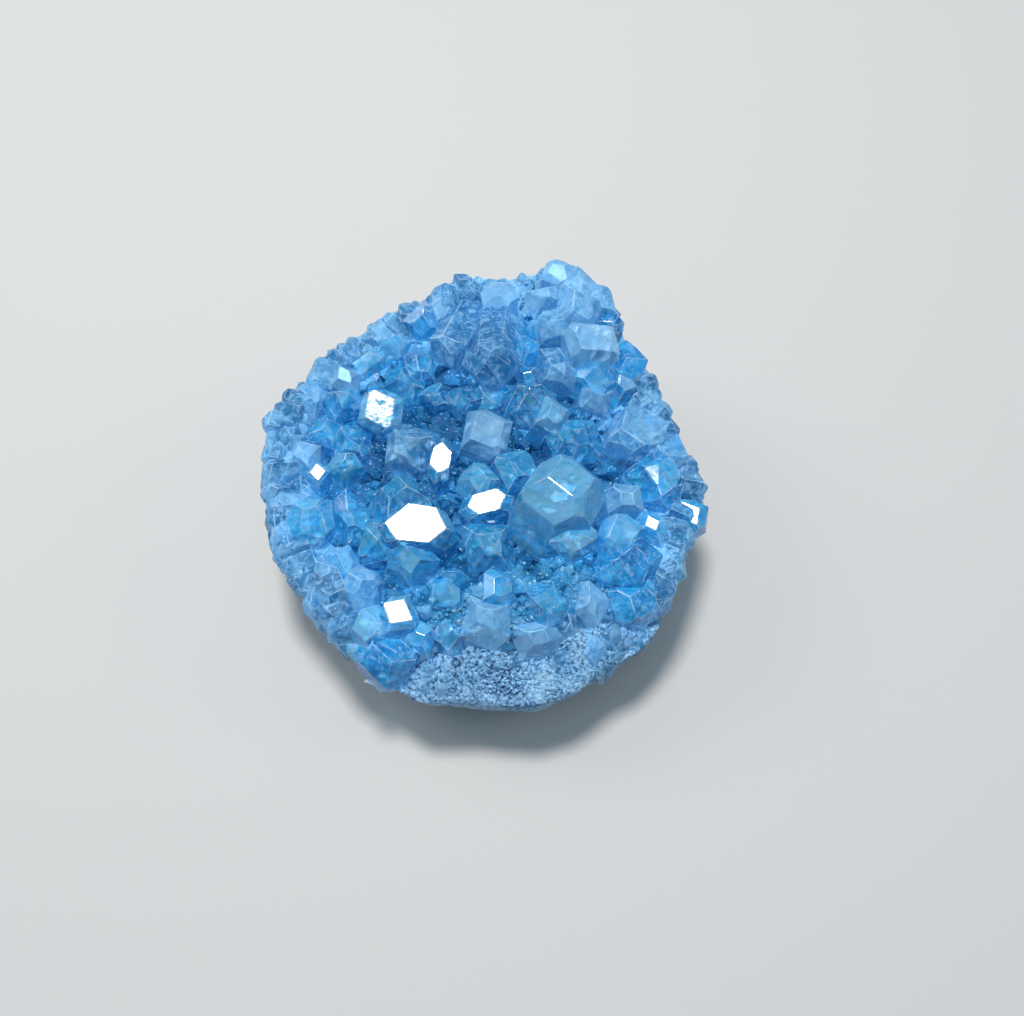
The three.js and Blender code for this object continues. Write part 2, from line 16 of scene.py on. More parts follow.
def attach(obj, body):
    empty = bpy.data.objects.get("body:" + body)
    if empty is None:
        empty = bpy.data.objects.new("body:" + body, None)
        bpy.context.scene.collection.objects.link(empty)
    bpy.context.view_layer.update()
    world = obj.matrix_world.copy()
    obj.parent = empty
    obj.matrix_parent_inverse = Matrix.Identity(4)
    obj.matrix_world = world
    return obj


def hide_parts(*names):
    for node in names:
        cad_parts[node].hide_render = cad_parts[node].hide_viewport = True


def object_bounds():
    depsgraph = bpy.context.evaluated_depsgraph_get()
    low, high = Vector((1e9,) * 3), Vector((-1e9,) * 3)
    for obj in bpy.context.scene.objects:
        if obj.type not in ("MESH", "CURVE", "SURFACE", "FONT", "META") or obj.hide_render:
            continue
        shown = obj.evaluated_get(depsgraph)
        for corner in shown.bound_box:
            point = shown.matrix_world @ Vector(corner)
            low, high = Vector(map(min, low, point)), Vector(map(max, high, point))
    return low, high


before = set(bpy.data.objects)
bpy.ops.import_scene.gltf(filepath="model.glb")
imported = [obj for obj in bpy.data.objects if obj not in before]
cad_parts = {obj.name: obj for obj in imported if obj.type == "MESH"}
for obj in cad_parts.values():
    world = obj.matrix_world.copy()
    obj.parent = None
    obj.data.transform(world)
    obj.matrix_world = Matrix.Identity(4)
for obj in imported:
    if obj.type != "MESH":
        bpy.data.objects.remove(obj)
cad_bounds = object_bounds()

MM = 0.001

# Rock and crust, in millimetres and degrees
FOOT_RADIUS = 23.0
FOOT_WOBBLE = 1.6
RIM_HEIGHT = 21.5
RIM_RISE = 4.5
RIM_HIGH_SIDE = 95.0
CRUST = 5.0
BED_DEPTH = 11.0
BOWL_FLOOR = 8.0
FLANK_LUMP = 2.6

# The bare rock band at the front
BAND_MIDDLE = -77.0
BAND_HALF = 22.0
BAND_FADE = 20.0
BAND_START = 0.72
BAND_TOP = 17.5
BAND_EDGE = 13.2

# The mound under the high crystals at the back right: x, y, reach and height
MOUND = (17.5, 30.0, 17.0, 8.0)

# Radius of the rim by direction in degrees
RIM = [
    (-180, 38),
    (-158, 38),
    (-140, 36.8),
    (-122, 38),
    (-103, 40),
    (-88, 39.6),
    (-72, 41.4),
    (-48, 40.6),
    (-24, 38.2),
    (-3, 39),
    (14, 35.4),
    (38, 35.8),
    (60, 39),
    (76, 41),
    (92, 40),
    (108, 36.2),
    (128, 36),
    (147, 36.4),
    (166, 39.4),
]

# Crystal habit: a rhombic prism whose blunt edges are cut flat, with an end that slopes in to the cap
PRISM_ANGLES = (38, 142, 218, 322)
FLAT_ANGLES = (90, 270)
PLAIN_BELOW = 6.6
SIDE_JITTER = 5.0
REACH_JITTER = 0.12
SLOPE_JITTER = 9.0
ROOT_DEPTH = 3.0
ROOT_STEP = 0.5
LONGEST = 24.0

CLEAR, MILKY, POLISHED = "clear", "milky", "polished"

# The crystals that a look at the cluster picks out, as in the part: middle of the cap, width, depth, lean of
# the axis and its direction, twist, share of the prism that the cap keeps, slope of the end, clarity and tone
CRYSTAL_NAMES = ("head", "wide", "deep", "tilt", "toward", "twist", "cap", "slope", "clarity", "tone")
CRYSTALS = [
    # Middle
    ((15.2, -5.2, 29.8), 16.5, 12.5, 22, 48, 10, 0.54, 42, CLEAR, 0.85),
    ((15.4, -15, 26), 8.5, 8.5, 30, -80, 90, 0.5, 40, CLEAR, 0.65),
    ((1.4, 5.4, 27), 10.5, 9.5, 18, -70, 30, 0.62, 40, MILKY, 0.75),
    ((8.4, 9.5, 27.5), 9.5, 8.5, 40, -95, 0, 0.45, 44, CLEAR, 0.15),
    ((13, 7.2, 29), 6.5, 5.5, 18, -40, 20, 0.54, 37, CLEAR, 0.9),
    ((16.6, 4.2, 27), 10.5, 9.5, 16, -60, 60, 0.33, 46, CLEAR, 0.2),
    ((-6.8, 0.5, 26), 8.5, 3.6, 6.8, -100, 80, 0.62, 38, POLISHED, 0.4),
    ((-0.5, -3.1, 25), 9.5, 8, 14, 200, 10, 0.37, 44, CLEAR, 0.5),
    ((7, -1, 26), 9.5, 8, 17, -20, 70, 0.41, 42, CLEAR, 0.35),
    ((1.3, -7.6, 25.3), 10, 3.8, 6, -115, 15, 0.66, 38, POLISHED, 0.4),
    ((-10.5, -12.4, 27), 13.5, 6.4, 5, -94, -8, 0.68, 36, POLISHED, 0.3),
    ((-14.5, -4.5, 24.8), 13, 10, 22, 120, -10, 0.35, 38, CLEAR, 0.2),
    ((-17.5, -12.5, 24), 9.5, 9, 14, 170, 40, 0.41, 42, CLEAR, 0.3),
    ((-22.6, -10.3, 24), 8.5, 7.5, 16, 200, 60, 0.4, 42, CLEAR, 0.35),
    ((-11.8, -18.3, 24.3), 11, 8.5, 22, -100, 5, 0.4, 40, CLEAR, 0.4),
    ((1.4, -15.2, 25.2), 11, 10, 15, -85, 48, 0.4, 38, CLEAR, 0.4),
    ((-22.5, -6, 22), 7.5, 7, 16, 0, 15, 0.41, 42, CLEAR, 0.15),
    ((-23, -1.5, 26), 7, 6, 24, -90, 0, 0.33, 52, CLEAR, 0.3),
    ((-17.5, 10, 27), 10, 7.5, 12, -78, 25, 0.66, 38, POLISHED, 0.6),
    ((-13, 4, 24.3), 11.5, 9.5, 20, -120, 30, 0.4, 38, MILKY, 0.5),
    # Left
    ((-29, -11, 24.8), 10, 8.5, 20, -110, 50, 0.5, 42, CLEAR, 0.5),
    ((-27.5, -2.2, 26), 4.2, 3.6, 7, -66, 10, 0.62, 40, POLISHED, 0.6),
    ((-24, 12.5, 25.5), 8.5, 7.5, 17, -60, 70, 0.41, 42, CLEAR, 0.2),
    ((-26, 6.5, 25), 8.5, 7.5, 15, -30, 20, 0.41, 40, CLEAR, 0.15),
    ((-22.1, 4, 25.5), 7.5, 6.5, 18, -70, 40, 0.4, 42, CLEAR, 0.2),
    ((-29, 13.5, 25), 6.5, 6, 16, -45, 5, 0.37, 42, MILKY, 0.6),
    ((-24, 17, 26.5), 6, 4.5, 12, -70, 30, 0.41, 38, MILKY, 0.8),
    ((-19.5, 20, 26), 9.5, 4, 30, -60, 35, 0.41, 42, CLEAR, 0.5),
    ((-15.5, 22.5, 26.5), 8, 4, 34, -60, 25, 0.41, 42, CLEAR, 0.6),
    ((-31, 3, 24.3), 7, 6, 18, 170, 25, 0.41, 40, MILKY, 0.8),
    ((-34.5, -5, 21.5), 6.5, 6, 22, 190, 0, 0.41, 42, MILKY, 0.7),
    ((-33.5, -11.5, 20.5), 7, 6, 26, 200, 35, 0.41, 42, CLEAR, 0.3),
    ((-34.5, 8.5, 23.3), 6.5, 6, 20, 160, 15, 0.41, 42, MILKY, 0.8),
    # Back
    ((1.5, 15.6, 28.2), 11, 8.5, 68, -93, 0, 0.5, 40, MILKY, 0.02),
    ((-6.2, 19.3, 27.4), 8.5, 7.5, 68, -106, 20, 0.35, 46, MILKY, 0.15),
    ((-10.5, 19.5, 25.5), 6.5, 6, 28, -60, 45, 0.33, 46, CLEAR, 0.1),
    ((-13.5, 15.5, 25.5), 8.5, 7, 22, -80, 10, 0.41, 40, CLEAR, 0.2),
    ((7.6, 19.5, 28.5), 6, 5.5, 55, -100, 30, 0.37, 42, CLEAR, 0.45),
    ((8.4, 17, 25.5), 6.5, 6, 40, -90, 60, 0.37, 42, CLEAR, 0.2),
    ((-8.4, 13.7, 23.8), 6.5, 5.5, 30, -80, 74, 0.4, 42, CLEAR, 0.1),
    ((-3.3, 13.2, 23), 7, 6, 34, -100, 13, 0.4, 42, CLEAR, 0.05),
    ((2.0, 14.2, 22.6), 7.5, 6.5, 30, -70, 43, 0.4, 42, CLEAR, 0.1),
    ((-12.3, 15.7, 24.2), 6, 5, 26, -60, 52, 0.4, 42, CLEAR, 0.15),
    ((-17.5, 28, 26), 7, 6, 12, 120, 30, 0.41, 42, MILKY, 0.8),
    ((-7.5, 32.5, 27), 7.5, 6.5, 14, 100, 10, 0.41, 40, MILKY, 0.8),
    ((3, 34.5, 28.3), 8, 6.5, 12, 90, 50, 0.41, 42, MILKY, 0.8),
    # High crystals at the back right
    ((13.5, 35.2, 33.5), 7, 6, 8, 110, 20, 0.35, 44, MILKY, 0.85),
    ((17.3, 32.6, 34.3), 8.5, 7.5, 10, 60, 0, 0.42, 42, MILKY, 0.7),
    ((21.5, 30.5, 33), 6.5, 6, 18, 30, 40, 0.4, 42, MILKY, 0.7),
    ((17.7, 26.8, 34), 10.5, 9.5, 16, -40, 30, 0.45, 44, MILKY, 0.6),
    ((10.5, 29.8, 32.3), 8.5, 7.5, 20, 190, 55, 0.41, 40, MILKY, 0.75),
    ((23.6, 25.8, 30.8), 6.5, 6, 22, 0, 15, 0.37, 42, CLEAR, 0.05),
    ((19.5, 18.9, 34.6), 10.5, 9.5, 15, -75, 52, 0.67, 32, MILKY, 1.0),
    ((20, 13.8, 29.5), 10.5, 7, 38, -85, 0, 0.45, 40, CLEAR, 0.35),
    ((27.2, 18.8, 29), 10, 5, 30, -15, 95, 0.41, 42, CLEAR, 0.1),
    ((25.3, 14.5, 27.8), 8.5, 5, 30, -30, 80, 0.41, 42, CLEAR, 0.15),
    ((20, 11, 28), 6.5, 6, 30, -80, 30, 0.4, 42, MILKY, 0.5),
    ((14.7, 13.4, 29), 8.5, 7.5, 62, -72, 20, 0.35, 46, MILKY, 0.5),
    ((13, 23, 32), 8.5, 8, 26, -100, 50, 0.41, 42, MILKY, 0.5),
    # Front left
    ((-18.6, -28.2, 21.8), 9.5, 7, 20, -125, 10, 0.55, 36, CLEAR, 0.75),
    ((-13, -26.8, 23.5), 7.5, 6.5, 2, -86, 60, 0.64, 40, POLISHED, 0.6),
    ((-16.4, -34.2, 18.8), 12.5, 10.5, 34, -112, 10, 0.5, 38, CLEAR, 0.1),
    ((-6.4, -22.5, 23.5), 7, 6.5, 14, -150, 45, 0.41, 40, CLEAR, 0.5),
    ((-9.8, -29.8, 20.8), 6, 5, 20, -110, 20, 0.41, 42, CLEAR, 0.4),
    ((-5, -29.5, 20), 9.5, 7.5, 26, -100, 0, 0.45, 38, CLEAR, 0.1),
    ((-26.5, -18.6, 21.8), 7.5, 6.5, 16, 215, 30, 0.41, 42, MILKY, 0.6),
    ((-21, -21.5, 22.5), 8, 7, 18, -130, 20, 0.4, 42, MILKY, 0.65),
    ((-28, -23, 19), 7, 6, 24, 220, 0, 0.41, 42, MILKY, 0.6),
    ((-24, -27, 18), 7, 6, 26, 225, 50, 0.41, 42, MILKY, 0.5),
    # Front
    ((1.1, -27.4, 22.5), 11, 9.5, 18, -100, 35, 0.33, 46, MILKY, 0.85),
    ((9.9, -30, 20.8), 9.5, 8, 22, -75, 60, 0.33, 46, MILKY, 0.8),
    ((11.9, -25, 23.2), 10.5, 9.5, 16, -60, 80, 0.45, 38, CLEAR, 0.3),
    ((3.7, -22.5, 23.8), 7.5, 6.5, 22, -20, 40, 0.57, 34, CLEAR, 0.3),
    ((18.8, -24.7, 22), 8, 7.5, 22, -60, 15, 0.34, 46, MILKY, 0.9),
    ((25.3, -18.2, 23), 13, 8.5, 24, -75, 15, 0.54, 36, CLEAR, 0.05),
    ((27.3, -23.6, 20.3), 10.5, 8, 24, -40, -15, 0.49, 36, CLEAR, 0.3),
    ((19, -31, 16), 7, 6, 30, -60, 10, 0.37, 42, MILKY, 0.7),
    # Right
    ((23.7, -12.6, 24), 9.5, 7.5, 14, -100, 10, 0.45, 38, CLEAR, 0.6),
    ((24.8, -6.9, 25.3), 8, 7, 17, -60, 50, 0.37, 44, MILKY, 0.8),
    ((28.5, 8, 24.6), 13, 9, 18, 30, 20, 0.7, 36, MILKY, 0.6),
    ((32.6, 4.6, 23.4), 10, 8, 22, 20, 60, 0.6, 40, MILKY, 0.45),
    ((31.8, -1.6, 23.8), 14, 10, 20, -10, -15, 0.5, 36, CLEAR, 0.3),
    ((35.5, -7.6, 21.2), 7, 6, 10, -149, 30, 0.55, 42, POLISHED, 0.2),
    ((29, -10.2, 22.6), 6, 5, 9, -148, 20, 0.46, 42, POLISHED, 0.5),
    ((33, -15.5, 18.5), 7.5, 6.5, 20, -20, 40, 0.41, 42, MILKY, 0.8),
]

# Small crystals between the listed ones: seed, count, inner and outer share of the rim, width, rise, focus
FILL = (41, 90, 0.1, 0.84, (4.5, 7), (2.5, 5.5), 62)
FRINGE = (77, 66, 0.84, 0.91, (3.5, 5.5), (1.2, 2.4), 200)
CLEAR_OF_NAMED = 0.34
GOLDEN_TURN = 137.508
LEAN_JITTER = 16.0

# Colours, with the stops of each surface from its deepest to its palest
PALE = (0.46, 0.75, 0.95)
# Pale of worn edges, partly painted edge highlights, and of the crystals' specks, partly painted sparkle
WEAR_AND_GLINT_PALE = (0.72, 0.91, 0.99)
FOOT_GREY = (0.30, 0.33, 0.36)
TAN_STAIN = (0.80, 0.62, 0.42)
CLEAR_TONES = [(0.0, (0.01, 0.23, 0.52)), (0.5, (0.05, 0.54, 0.88)), (1.0, (0.30, 0.80, 0.99))]
MILKY_TONES = [(0.0, (0.02, 0.19, 0.44)), (0.5, (0.09, 0.39, 0.68)), (1.0, (0.29, 0.62, 0.88))]
DRUSE_TONES = [(0.0, (0.015, 0.12, 0.27)), (0.5, (0.05, 0.25, 0.44)), (1.0, (0.24, 0.49, 0.68))]
# The sugar's deepest stops are partly painted shade in the bowl between the crystals
SUGAR_AND_SHADE_STOPS = [(0.0, (0.004, 0.095, 0.25)), (0.45, (0.04, 0.28, 0.53)), (1.0, (0.28, 0.57, 0.81))]
CRACK_STOPS = [(0.35, (0.45, 0.72, 0.92)), (0.65, (0.90, 0.97, 1.0))]
ROCK_STOPS = [
    (0.28, (0.01, 0.035, 0.09)),
    (0.36, (0.07, 0.19, 0.37)),
    (0.45, (0.17, 0.40, 0.65)),
    (0.64, (0.45, 0.73, 0.97)),
]
FROST_SHINE = (0.55, 0.85, 1.0, 1)
FLOOR_COLOUR = (0.64, 0.60, 0.56, 1)

# Optics: how strongly the surfaces bend light, what colour clear crystal keeps and how much it takes up in
# a metre, and how far in millimetres light scatters inside the frosted ones
CELESTITE_IOR, CRUST_IOR, ROCK_IOR = 1.62, 1.6, 1.5
ABSORBED, ABSORPTION = (0.05, 0.62, 0.92, 1), 95
MILKY_SCATTER, CRUST_SCATTER = 0.6, 0.4
SCATTER_RADIUS = (1.0, 1.0, 1.0)

# Pale veils: the noise where they set in and are full, and their least and greatest share
CLEAR_VEIL = (0.52, 0.72, 0.0, 0.85)
MILKY_VEIL = (0.46, 0.66, 0.0, 0.8)

# Roughness of the least and the most etched faces
CLEAR_ROUGH, MILKY_ROUGH, DRUSE_ROUGH = (0.01, 0.3), (0.2, 0.5), (0.4, 0.6)

# Distances from the middle between which the bed turns from deep blue, partly painted shade in the bowl, to
# pale, the width of its lumps, and its clouds
PALE_RIM = (20.0, 33.0)
LUMP_SPAN = 3.6
CLOUDING = 0.3

# Crystals: worn edges, partly painted edge highlights, tones of their faces, with painted light and shade and
# a painted reflection, chips and healed cracks, with lengths in millimetres
CHAMFER = 0.14
TONE_AND_PAINTED_LIGHT, ETCH, EDGE_WEAR_AND_SHINE, AXIS = "tone", "etch", "edge", "axis"
# Spread of a random painted reflection on each face, standing for the facets' differing inner reflections
FACE_REFLECTION_JITTER = 0.35
MOTTLE = 0.35
# Painted light on the faces toward the crystal's end, and painted shade on its sides
CAP_PAINTED_LIGHT = 0.2
SIDE_PAINTED_SHADE = -0.15
CHIP_SEEDS = {CLEAR: 1000, POLISHED: 2000, MILKY: 3000, "fill": 4000, "fringe": 5000}
ETCH_LEAST = 0.35
CHIP_DEPTH = (0.25, 1.1)
FILL_TONE = 0.8
STREAK = 0.9
LIST_SEED = 7
FLAW_SEED = 61
FLAWS_EACH = 2.2
FLAW_THICK = 0.04
FLAW_RADIUS = (0.04, 0.16)
FLAW_REACH = 0.30
FLAW_DEPTH = (0.15, 0.9)
FLATTEN = math.radians(0.6)
MERGE = 0.06
SHARP_FROM = math.radians(32)
WEAR_AND_SHINE_BEND = (math.radians(12), math.radians(34))

# Small crystals that crust the bed: name, seed, count, inner and outer share of the bed, size and lift
BED_CRUSTS = [
    ("bowl_crust", 11, 800, 0.02, 0.80, (1.8, 4.2), -0.1),
    ("rim_sugar", 15, 1600, 0.80, 0.95, (0.4, 0.9), 0.0),
]
FLANK_CRUST = ("flank_sugar", 16, 1200, (0.4, 1.0))
# Frosted lumps that cover the rim and the flank: seed, count, width and tone
RIM_LUMPS = (12, 280, (2.4, 6.4), (0.3, 0.95))
FLANK_LUMPS = (13, 300, (3.0, 6.8), (0.25, 0.85))
LUMP_CHIPS = 6
LARGE_FROM = 7.5
BODY_SHARE = 0.45
# Lumps that spill over the bare band: first and last degree, count, width, and how far down they go
SPILL_SEED = 17
SPILLS = [
    (-122, -98, 60, (2.2, 4.8), 0.97),
    (-98, -62, 46, (1.6, 3.4), 0.86),
    (-62, -34, 70, (2.4, 4.8), 0.97),
]
SPILL_TONES = (0.2, 0.75)
LUMP_CHAMFER = 0.12
BAND_GRAINS = (14, 2400, (0.3, 0.8))
GRAIN_KINDS = 9
# Ring of the rim's lumps, and how far small things lean outwards and scatter about that, in degrees
RIM_RING = (0.66, 0.98)
RIM_LEAN, FLANK_LEAN, SPILL_LEAN, LUMP_SPREAD = (-8, 50), (95, 60), 40, 25
BED_GRAIN_LEAN, BED_GRAIN_SPREAD = 24, 45
FLANK_GRAIN_LEAN, FLANK_GRAIN_SPREAD = 70, 40
BAND_GRAIN_LEAN, BAND_GRAIN_SPREAD = 30, 80

# How far the bed reaches into the rock, and how far the rock stays behind the rim
BED_SINK = 0.6
ROCK_BEHIND = 0.6

# Fineness of the turned surfaces
BED_TURNS, BED_RINGS = 300, 70
ROCK_TURNS, ROCK_RINGS = 320, 110

# Camera: the photograph's angle from above, its distance and its lens
CAMERA_PLACE = (5.35, -108.5, 218.6)
CAMERA_DIP = 62.7
CAMERA_LENS = 45.7

# Lights: name, direction from the cluster, distance and size in metres, power in watts
LIGHTS = [
    ("key", (-0.098, 0.272, 0.946), 0.7, 0.18, 3.9),
    ("left_soft", (-0.75, 0.35, 0.55), 0.9, 0.4, 1.4),
    ("right_soft", (0.8, 0.1, 0.45), 0.9, 0.3, 0.6),
]
WORLD_TOP = (0.40, 0.57, 0.72)
WORLD_SIDE = (0.08, 0.14, 0.21)
WORLD_STRENGTH = 0.7
FLOOR_SIZE = 3.0


def mix(a, b, share):
    return a + (b - a) * share


def smooth(value, low, high):
    share = min(1.0, max(0.0, (value - low) / (high - low)))
    return share * share * (3 - 2 * share)


def wrap(degrees):
    """Degrees brought into the range from -180 to 180."""
    return (degrees + 180) % 360 - 180


def seeded(seed):
    """The part's own small generator, so that the crystals match it."""
    mask = 0xFFFFFFFF
    state = seed

    def draw():
        nonlocal state
        state = (state + 0x6D2B79F5) & mask
        t = ((state ^ (state >> 15)) * (state | 1)) & mask
        t = ((t + (((t ^ (t >> 7)) * (t | 61)) & mask)) & mask) ^ t
        return (t ^ (t >> 14)) / 4294967296

    return draw


def around(degrees, far):
    """The place at a distance from the middle, in a direction."""
    return far * math.cos(math.radians(degrees)), far * math.sin(math.radians(degrees))


def rim_radius(degrees):
    """Radius of the rim in a direction, eased between the points of RIM."""
    angle = wrap(degrees)
    points = RIM + [(RIM[0][0] + 360, RIM[0][1])]
    for (a0, r0), (a1, r1) in zip(points, points[1:]):
        if angle < a1:
            return mix(r0, r1, (1 - math.cos(math.pi * (angle - a0) / (a1 - a0))) / 2)
    return RIM[0][1]


def rim_height(degrees):
    return RIM_HEIGHT + RIM_RISE * math.cos(math.radians(degrees - RIM_HIGH_SIDE))


def band_share(degrees):
    """1 in the middle of the bare rock band at the front, 0 away from it."""
    return 1 - smooth(abs(wrap(degrees - BAND_MIDDLE)), BAND_HALF, BAND_HALF + BAND_FADE)


def bulge_height(degrees):
    return mix(rim_height(degrees) - CRUST, BAND_EDGE, band_share(degrees))


def rock_top(share, degrees):
    """Top of the rock at a share of the rim's radius: a bowl, with a bevel at the front band."""
    bowl = mix(BOWL_FLOOR, bulge_height(degrees), share * share)
    rise = mix(BOWL_FLOOR, BAND_TOP, min(1.0, share / BAND_START) ** 2)
    bevel = mix(BAND_TOP, BAND_EDGE, max(0.0, share - BAND_START) / (1 - BAND_START))
    return mix(bowl, rise if share < BAND_START else bevel, band_share(degrees))


def mound(x, y):
    far = math.hypot(x - MOUND[0], y - MOUND[1]) / MOUND[2]
    return MOUND[3] * (1 - smooth(far, 0, 1)) if far < 1 else 0.0


def bed_reach(degrees):
    """Share of the rim's radius that the crystal bed covers."""
    return mix(1.0, BAND_START + 0.06, band_share(degrees))


def bed_top(x, y):
    """Top of the massive bed that the crystals stand on, or None outside it."""
    degrees = math.degrees(math.atan2(y, x))
    share = math.hypot(x, y) / rim_radius(degrees)
    if share > bed_reach(degrees):
        return None
    thin = band_share(degrees) * smooth(share, BAND_START - 0.14, BAND_START + 0.06)
    return rock_top(share, degrees) + mix(mix(BED_DEPTH, CRUST, share), 1.2, thin) + mound(x, y)


def skin_lump(degrees, height):
    """Slow bumps of the rock's skin, between -1 and 1."""
    turn = math.radians(degrees)
    broad = math.sin(5 * turn + 0.22 * height + 0.8)
    middle = math.sin(11 * turn - 0.35 * height + 2.1)
    fine = math.sin(19 * turn + 0.5 * height + 4.4)
    return 0.45 * broad + 0.35 * middle + 0.2 * fine


def leaning(tilt, toward):
    """The unit vector of an axis that leans from upright by tilt, toward a direction."""
    flat = math.sin(math.radians(tilt))
    turn = math.radians(toward)
    return Vector((flat * math.cos(turn), flat * math.sin(turn), math.cos(math.radians(tilt))))


def root_length(head, axis):
    """How far a crystal runs down from its cap before it is rooted in the bed."""
    entered = bed_top(head.x, head.y) is not None
    length = 2.0
    while length < LONGEST:
        top = bed_top(head.x - axis.x * length, head.y - axis.y * length)
        if top is not None and head.z - axis.z * length < top - ROOT_DEPTH:
            return length
        if entered and top is None:
            return length
        entered = top is not None
        length += ROOT_STEP
    return LONGEST


def crystal_faces(crystal, length, draw):
    """The flat faces in the crystal's own frame, cap in z = 0 and root below, as (normal, distance)."""
    faces = [(Vector((0, 0, 1)), 0.0), (Vector((0, 0, -1)), length)]

    def jitter(span):
        return span * (2 * draw() - 1)

    for angle in PRISM_ANGLES:
        turn = math.radians(angle + jitter(SIDE_JITTER))
        half = crystal["wide"] / 2 * math.cos(math.radians(PRISM_ANGLES[0]))
        reach = half * (1 + jitter(REACH_JITTER))
        rise = math.radians(crystal["slope"] + jitter(SLOPE_JITTER))
        keep = crystal["cap"] * (1 + jitter(REACH_JITTER))
        side = Vector((math.cos(turn), math.sin(turn), 0))
        end = side * math.cos(rise) + Vector((0, 0, math.sin(rise)))
        faces.append((side, reach))
        faces.append((end, keep * reach * math.cos(rise)))
    for angle in () if crystal["wide"] < PLAIN_BELOW else FLAT_ANGLES:
        turn = math.radians(angle + jitter(SIDE_JITTER))
        side = Vector((math.cos(turn), math.sin(turn), 0))
        faces.append((side, crystal["deep"] / 2 * (1 + jitter(REACH_JITTER))))
    return faces


def corners_of(faces):
    """The corners where three faces meet and no other face cuts the meeting point off."""
    normals = np.array([normal for normal, _ in faces])
    distances = np.array([distance for _, distance in faces])
    triples = np.array(list(itertools.combinations(range(len(faces)), 3)))
    sides = normals[triples]
    kept = np.abs(np.linalg.det(sides)) > 1e-6
    points = np.linalg.solve(sides[kept], distances[triples][kept][..., None])[..., 0]
    inside = (points @ normals.T < distances + 1e-5).all(axis=1)
    return points[inside]


def placing(crystal):
    """The turn of a crystal's own frame into the part's frame."""
    axis = leaning(crystal["tilt"], crystal["toward"])
    lean = Vector((0, 0, 1)).rotation_difference(axis)
    return lean @ Quaternion((0, 0, 1), math.radians(crystal["twist"]))


def chipped(faces, wide, draw, count):
    """Adds a few small broken or etched corners near the crystal's end."""
    corners = corners_of(faces)
    made = list(faces)
    for _ in range(count):
        turn = 2 * math.pi * draw()
        rise = math.radians(mix(8, 70, draw()))
        normal = Vector((math.cos(turn) * math.cos(rise), math.sin(turn) * math.cos(rise), math.sin(rise)))
        far = float((corners @ np.array(normal)).max())
        depth = mix(*CHIP_DEPTH, draw()) * min(1.0, wide / 8)
        made.append((normal, far - depth))
    return made


def apart_points(points):
    """The points without those that lie almost on another."""
    kept = []
    for point in points:
        if all((point - other).length > MERGE for other in kept):
            kept.append(point)
    return kept


def hull_of(points):
    """A closed hull, whose faces have room for how pale, etched and worn they are, and for its axis."""
    bm = bmesh.new()
    for label in (TONE_AND_PAINTED_LIGHT, ETCH, EDGE_WEAR_AND_SHINE):
        bm.faces.layers.float.new(label)
    bm.faces.layers.float_vector.new(AXIS)
    for point in points:
        bm.verts.new(point)
    hull = bmesh.ops.convex_hull(bm, input=bm.verts)
    loose = [g for g in hull["geom_interior"] + hull["geom_unused"] if isinstance(g, bmesh.types.BMVert)]
    bmesh.ops.delete(bm, geom=list(set(loose)), context="VERTS")
    return bm


def paint_faces(bm, tone, axis, polished, draw):
    """Faces near the crystal's end are painted paler than its sides, as painted light and shade, each face
    gets a random painted reflection, and only a polished crystal is not etched.
    """
    pale, etched = [bm.faces.layers.float[label] for label in (TONE_AND_PAINTED_LIGHT, ETCH)]
    for face in bm.faces:
        # Painted reflection: a random shift of each face's tone
        own = tone + FACE_REFLECTION_JITTER * (draw() - 0.5)
        # Painted light on the end faces, painted shade on the sides
        own += mix(SIDE_PAINTED_SHADE, CAP_PAINTED_LIGHT, smooth(face.normal.dot(axis), 0.1, 0.9))
        face[pale] = min(1.0, max(0.0, own))
        face[etched] = 0.0 if polished else mix(ETCH_LEAST, 1.0, draw() ** 2)


def hull_object(name, points, chamfer, tone, axis, draw, polished=False):
    """A closed convex crystal in millimetres, with worn edges where they fit, pale by how sharply they bend,
    partly as painted edge highlights.
    """
    points = apart_points(points)
    bm = hull_of(points)
    bmesh.ops.dissolve_limit(bm, angle_limit=FLATTEN, verts=bm.verts, edges=bm.edges)
    bm.normal_update()
    paint_faces(bm, tone, axis, polished, draw)
    cut = bmesh.ops.bevel(
        bm, geom=bm.edges[:], offset=chamfer, segments=1, affect="EDGES", clamp_overlap=True
    )
    worn = bm.faces.layers.float[EDGE_WEAR_AND_SHINE]
    # Worn edges are pale by their bend: partly real chipping, partly painted edge highlights
    for face in cut["faces"]:
        bend = max(edge.calc_face_angle(0) for edge in face.edges)
        face[worn] = smooth(bend, *WEAR_AND_SHINE_BEND)
    if not all(edge.is_manifold for edge in bm.edges):
        bm.free()
        bm = hull_of(points)
        bm.normal_update()
        paint_faces(bm, tone, axis, polished, draw)
    along = bm.faces.layers.float_vector[AXIS]
    for face in bm.faces:
        face[along] = axis
    bmesh.ops.recalc_face_normals(bm, faces=bm.faces)
    mesh = bpy.data.meshes.new(name)
    bm.to_mesh(mesh)
    bm.free()
    return bpy.data.objects.new(name, mesh)


def grown(name, crystal, faces, seed):
    """One crystal. Its corners are chipped or etched unless it is polished."""
    draw = seeded(seed)
    polished = crystal.get("clarity") == POLISHED
    turn = placing(crystal)
    head = Vector(crystal["head"])
    wide = crystal["wide"]
    tone = crystal.get("tone", FILL_TONE * draw())
    sides = faces if polished else chipped(faces, wide, draw, 2 + int(4 * draw()))
    points = [turn @ Vector(p) + head for p in corners_of(sides)]
    chamfer = CHAMFER * min(1.0, wide / 7)
    return hull_object(name, points, chamfer, tone, turn @ Vector((0, 0, 1)), draw, polished)


def all_grown(label, listed):
    seed = CHIP_SEEDS[label]
    return [grown(f"{label}_{i}", crystal, faces, seed + i) for i, (crystal, faces) in enumerate(listed)]


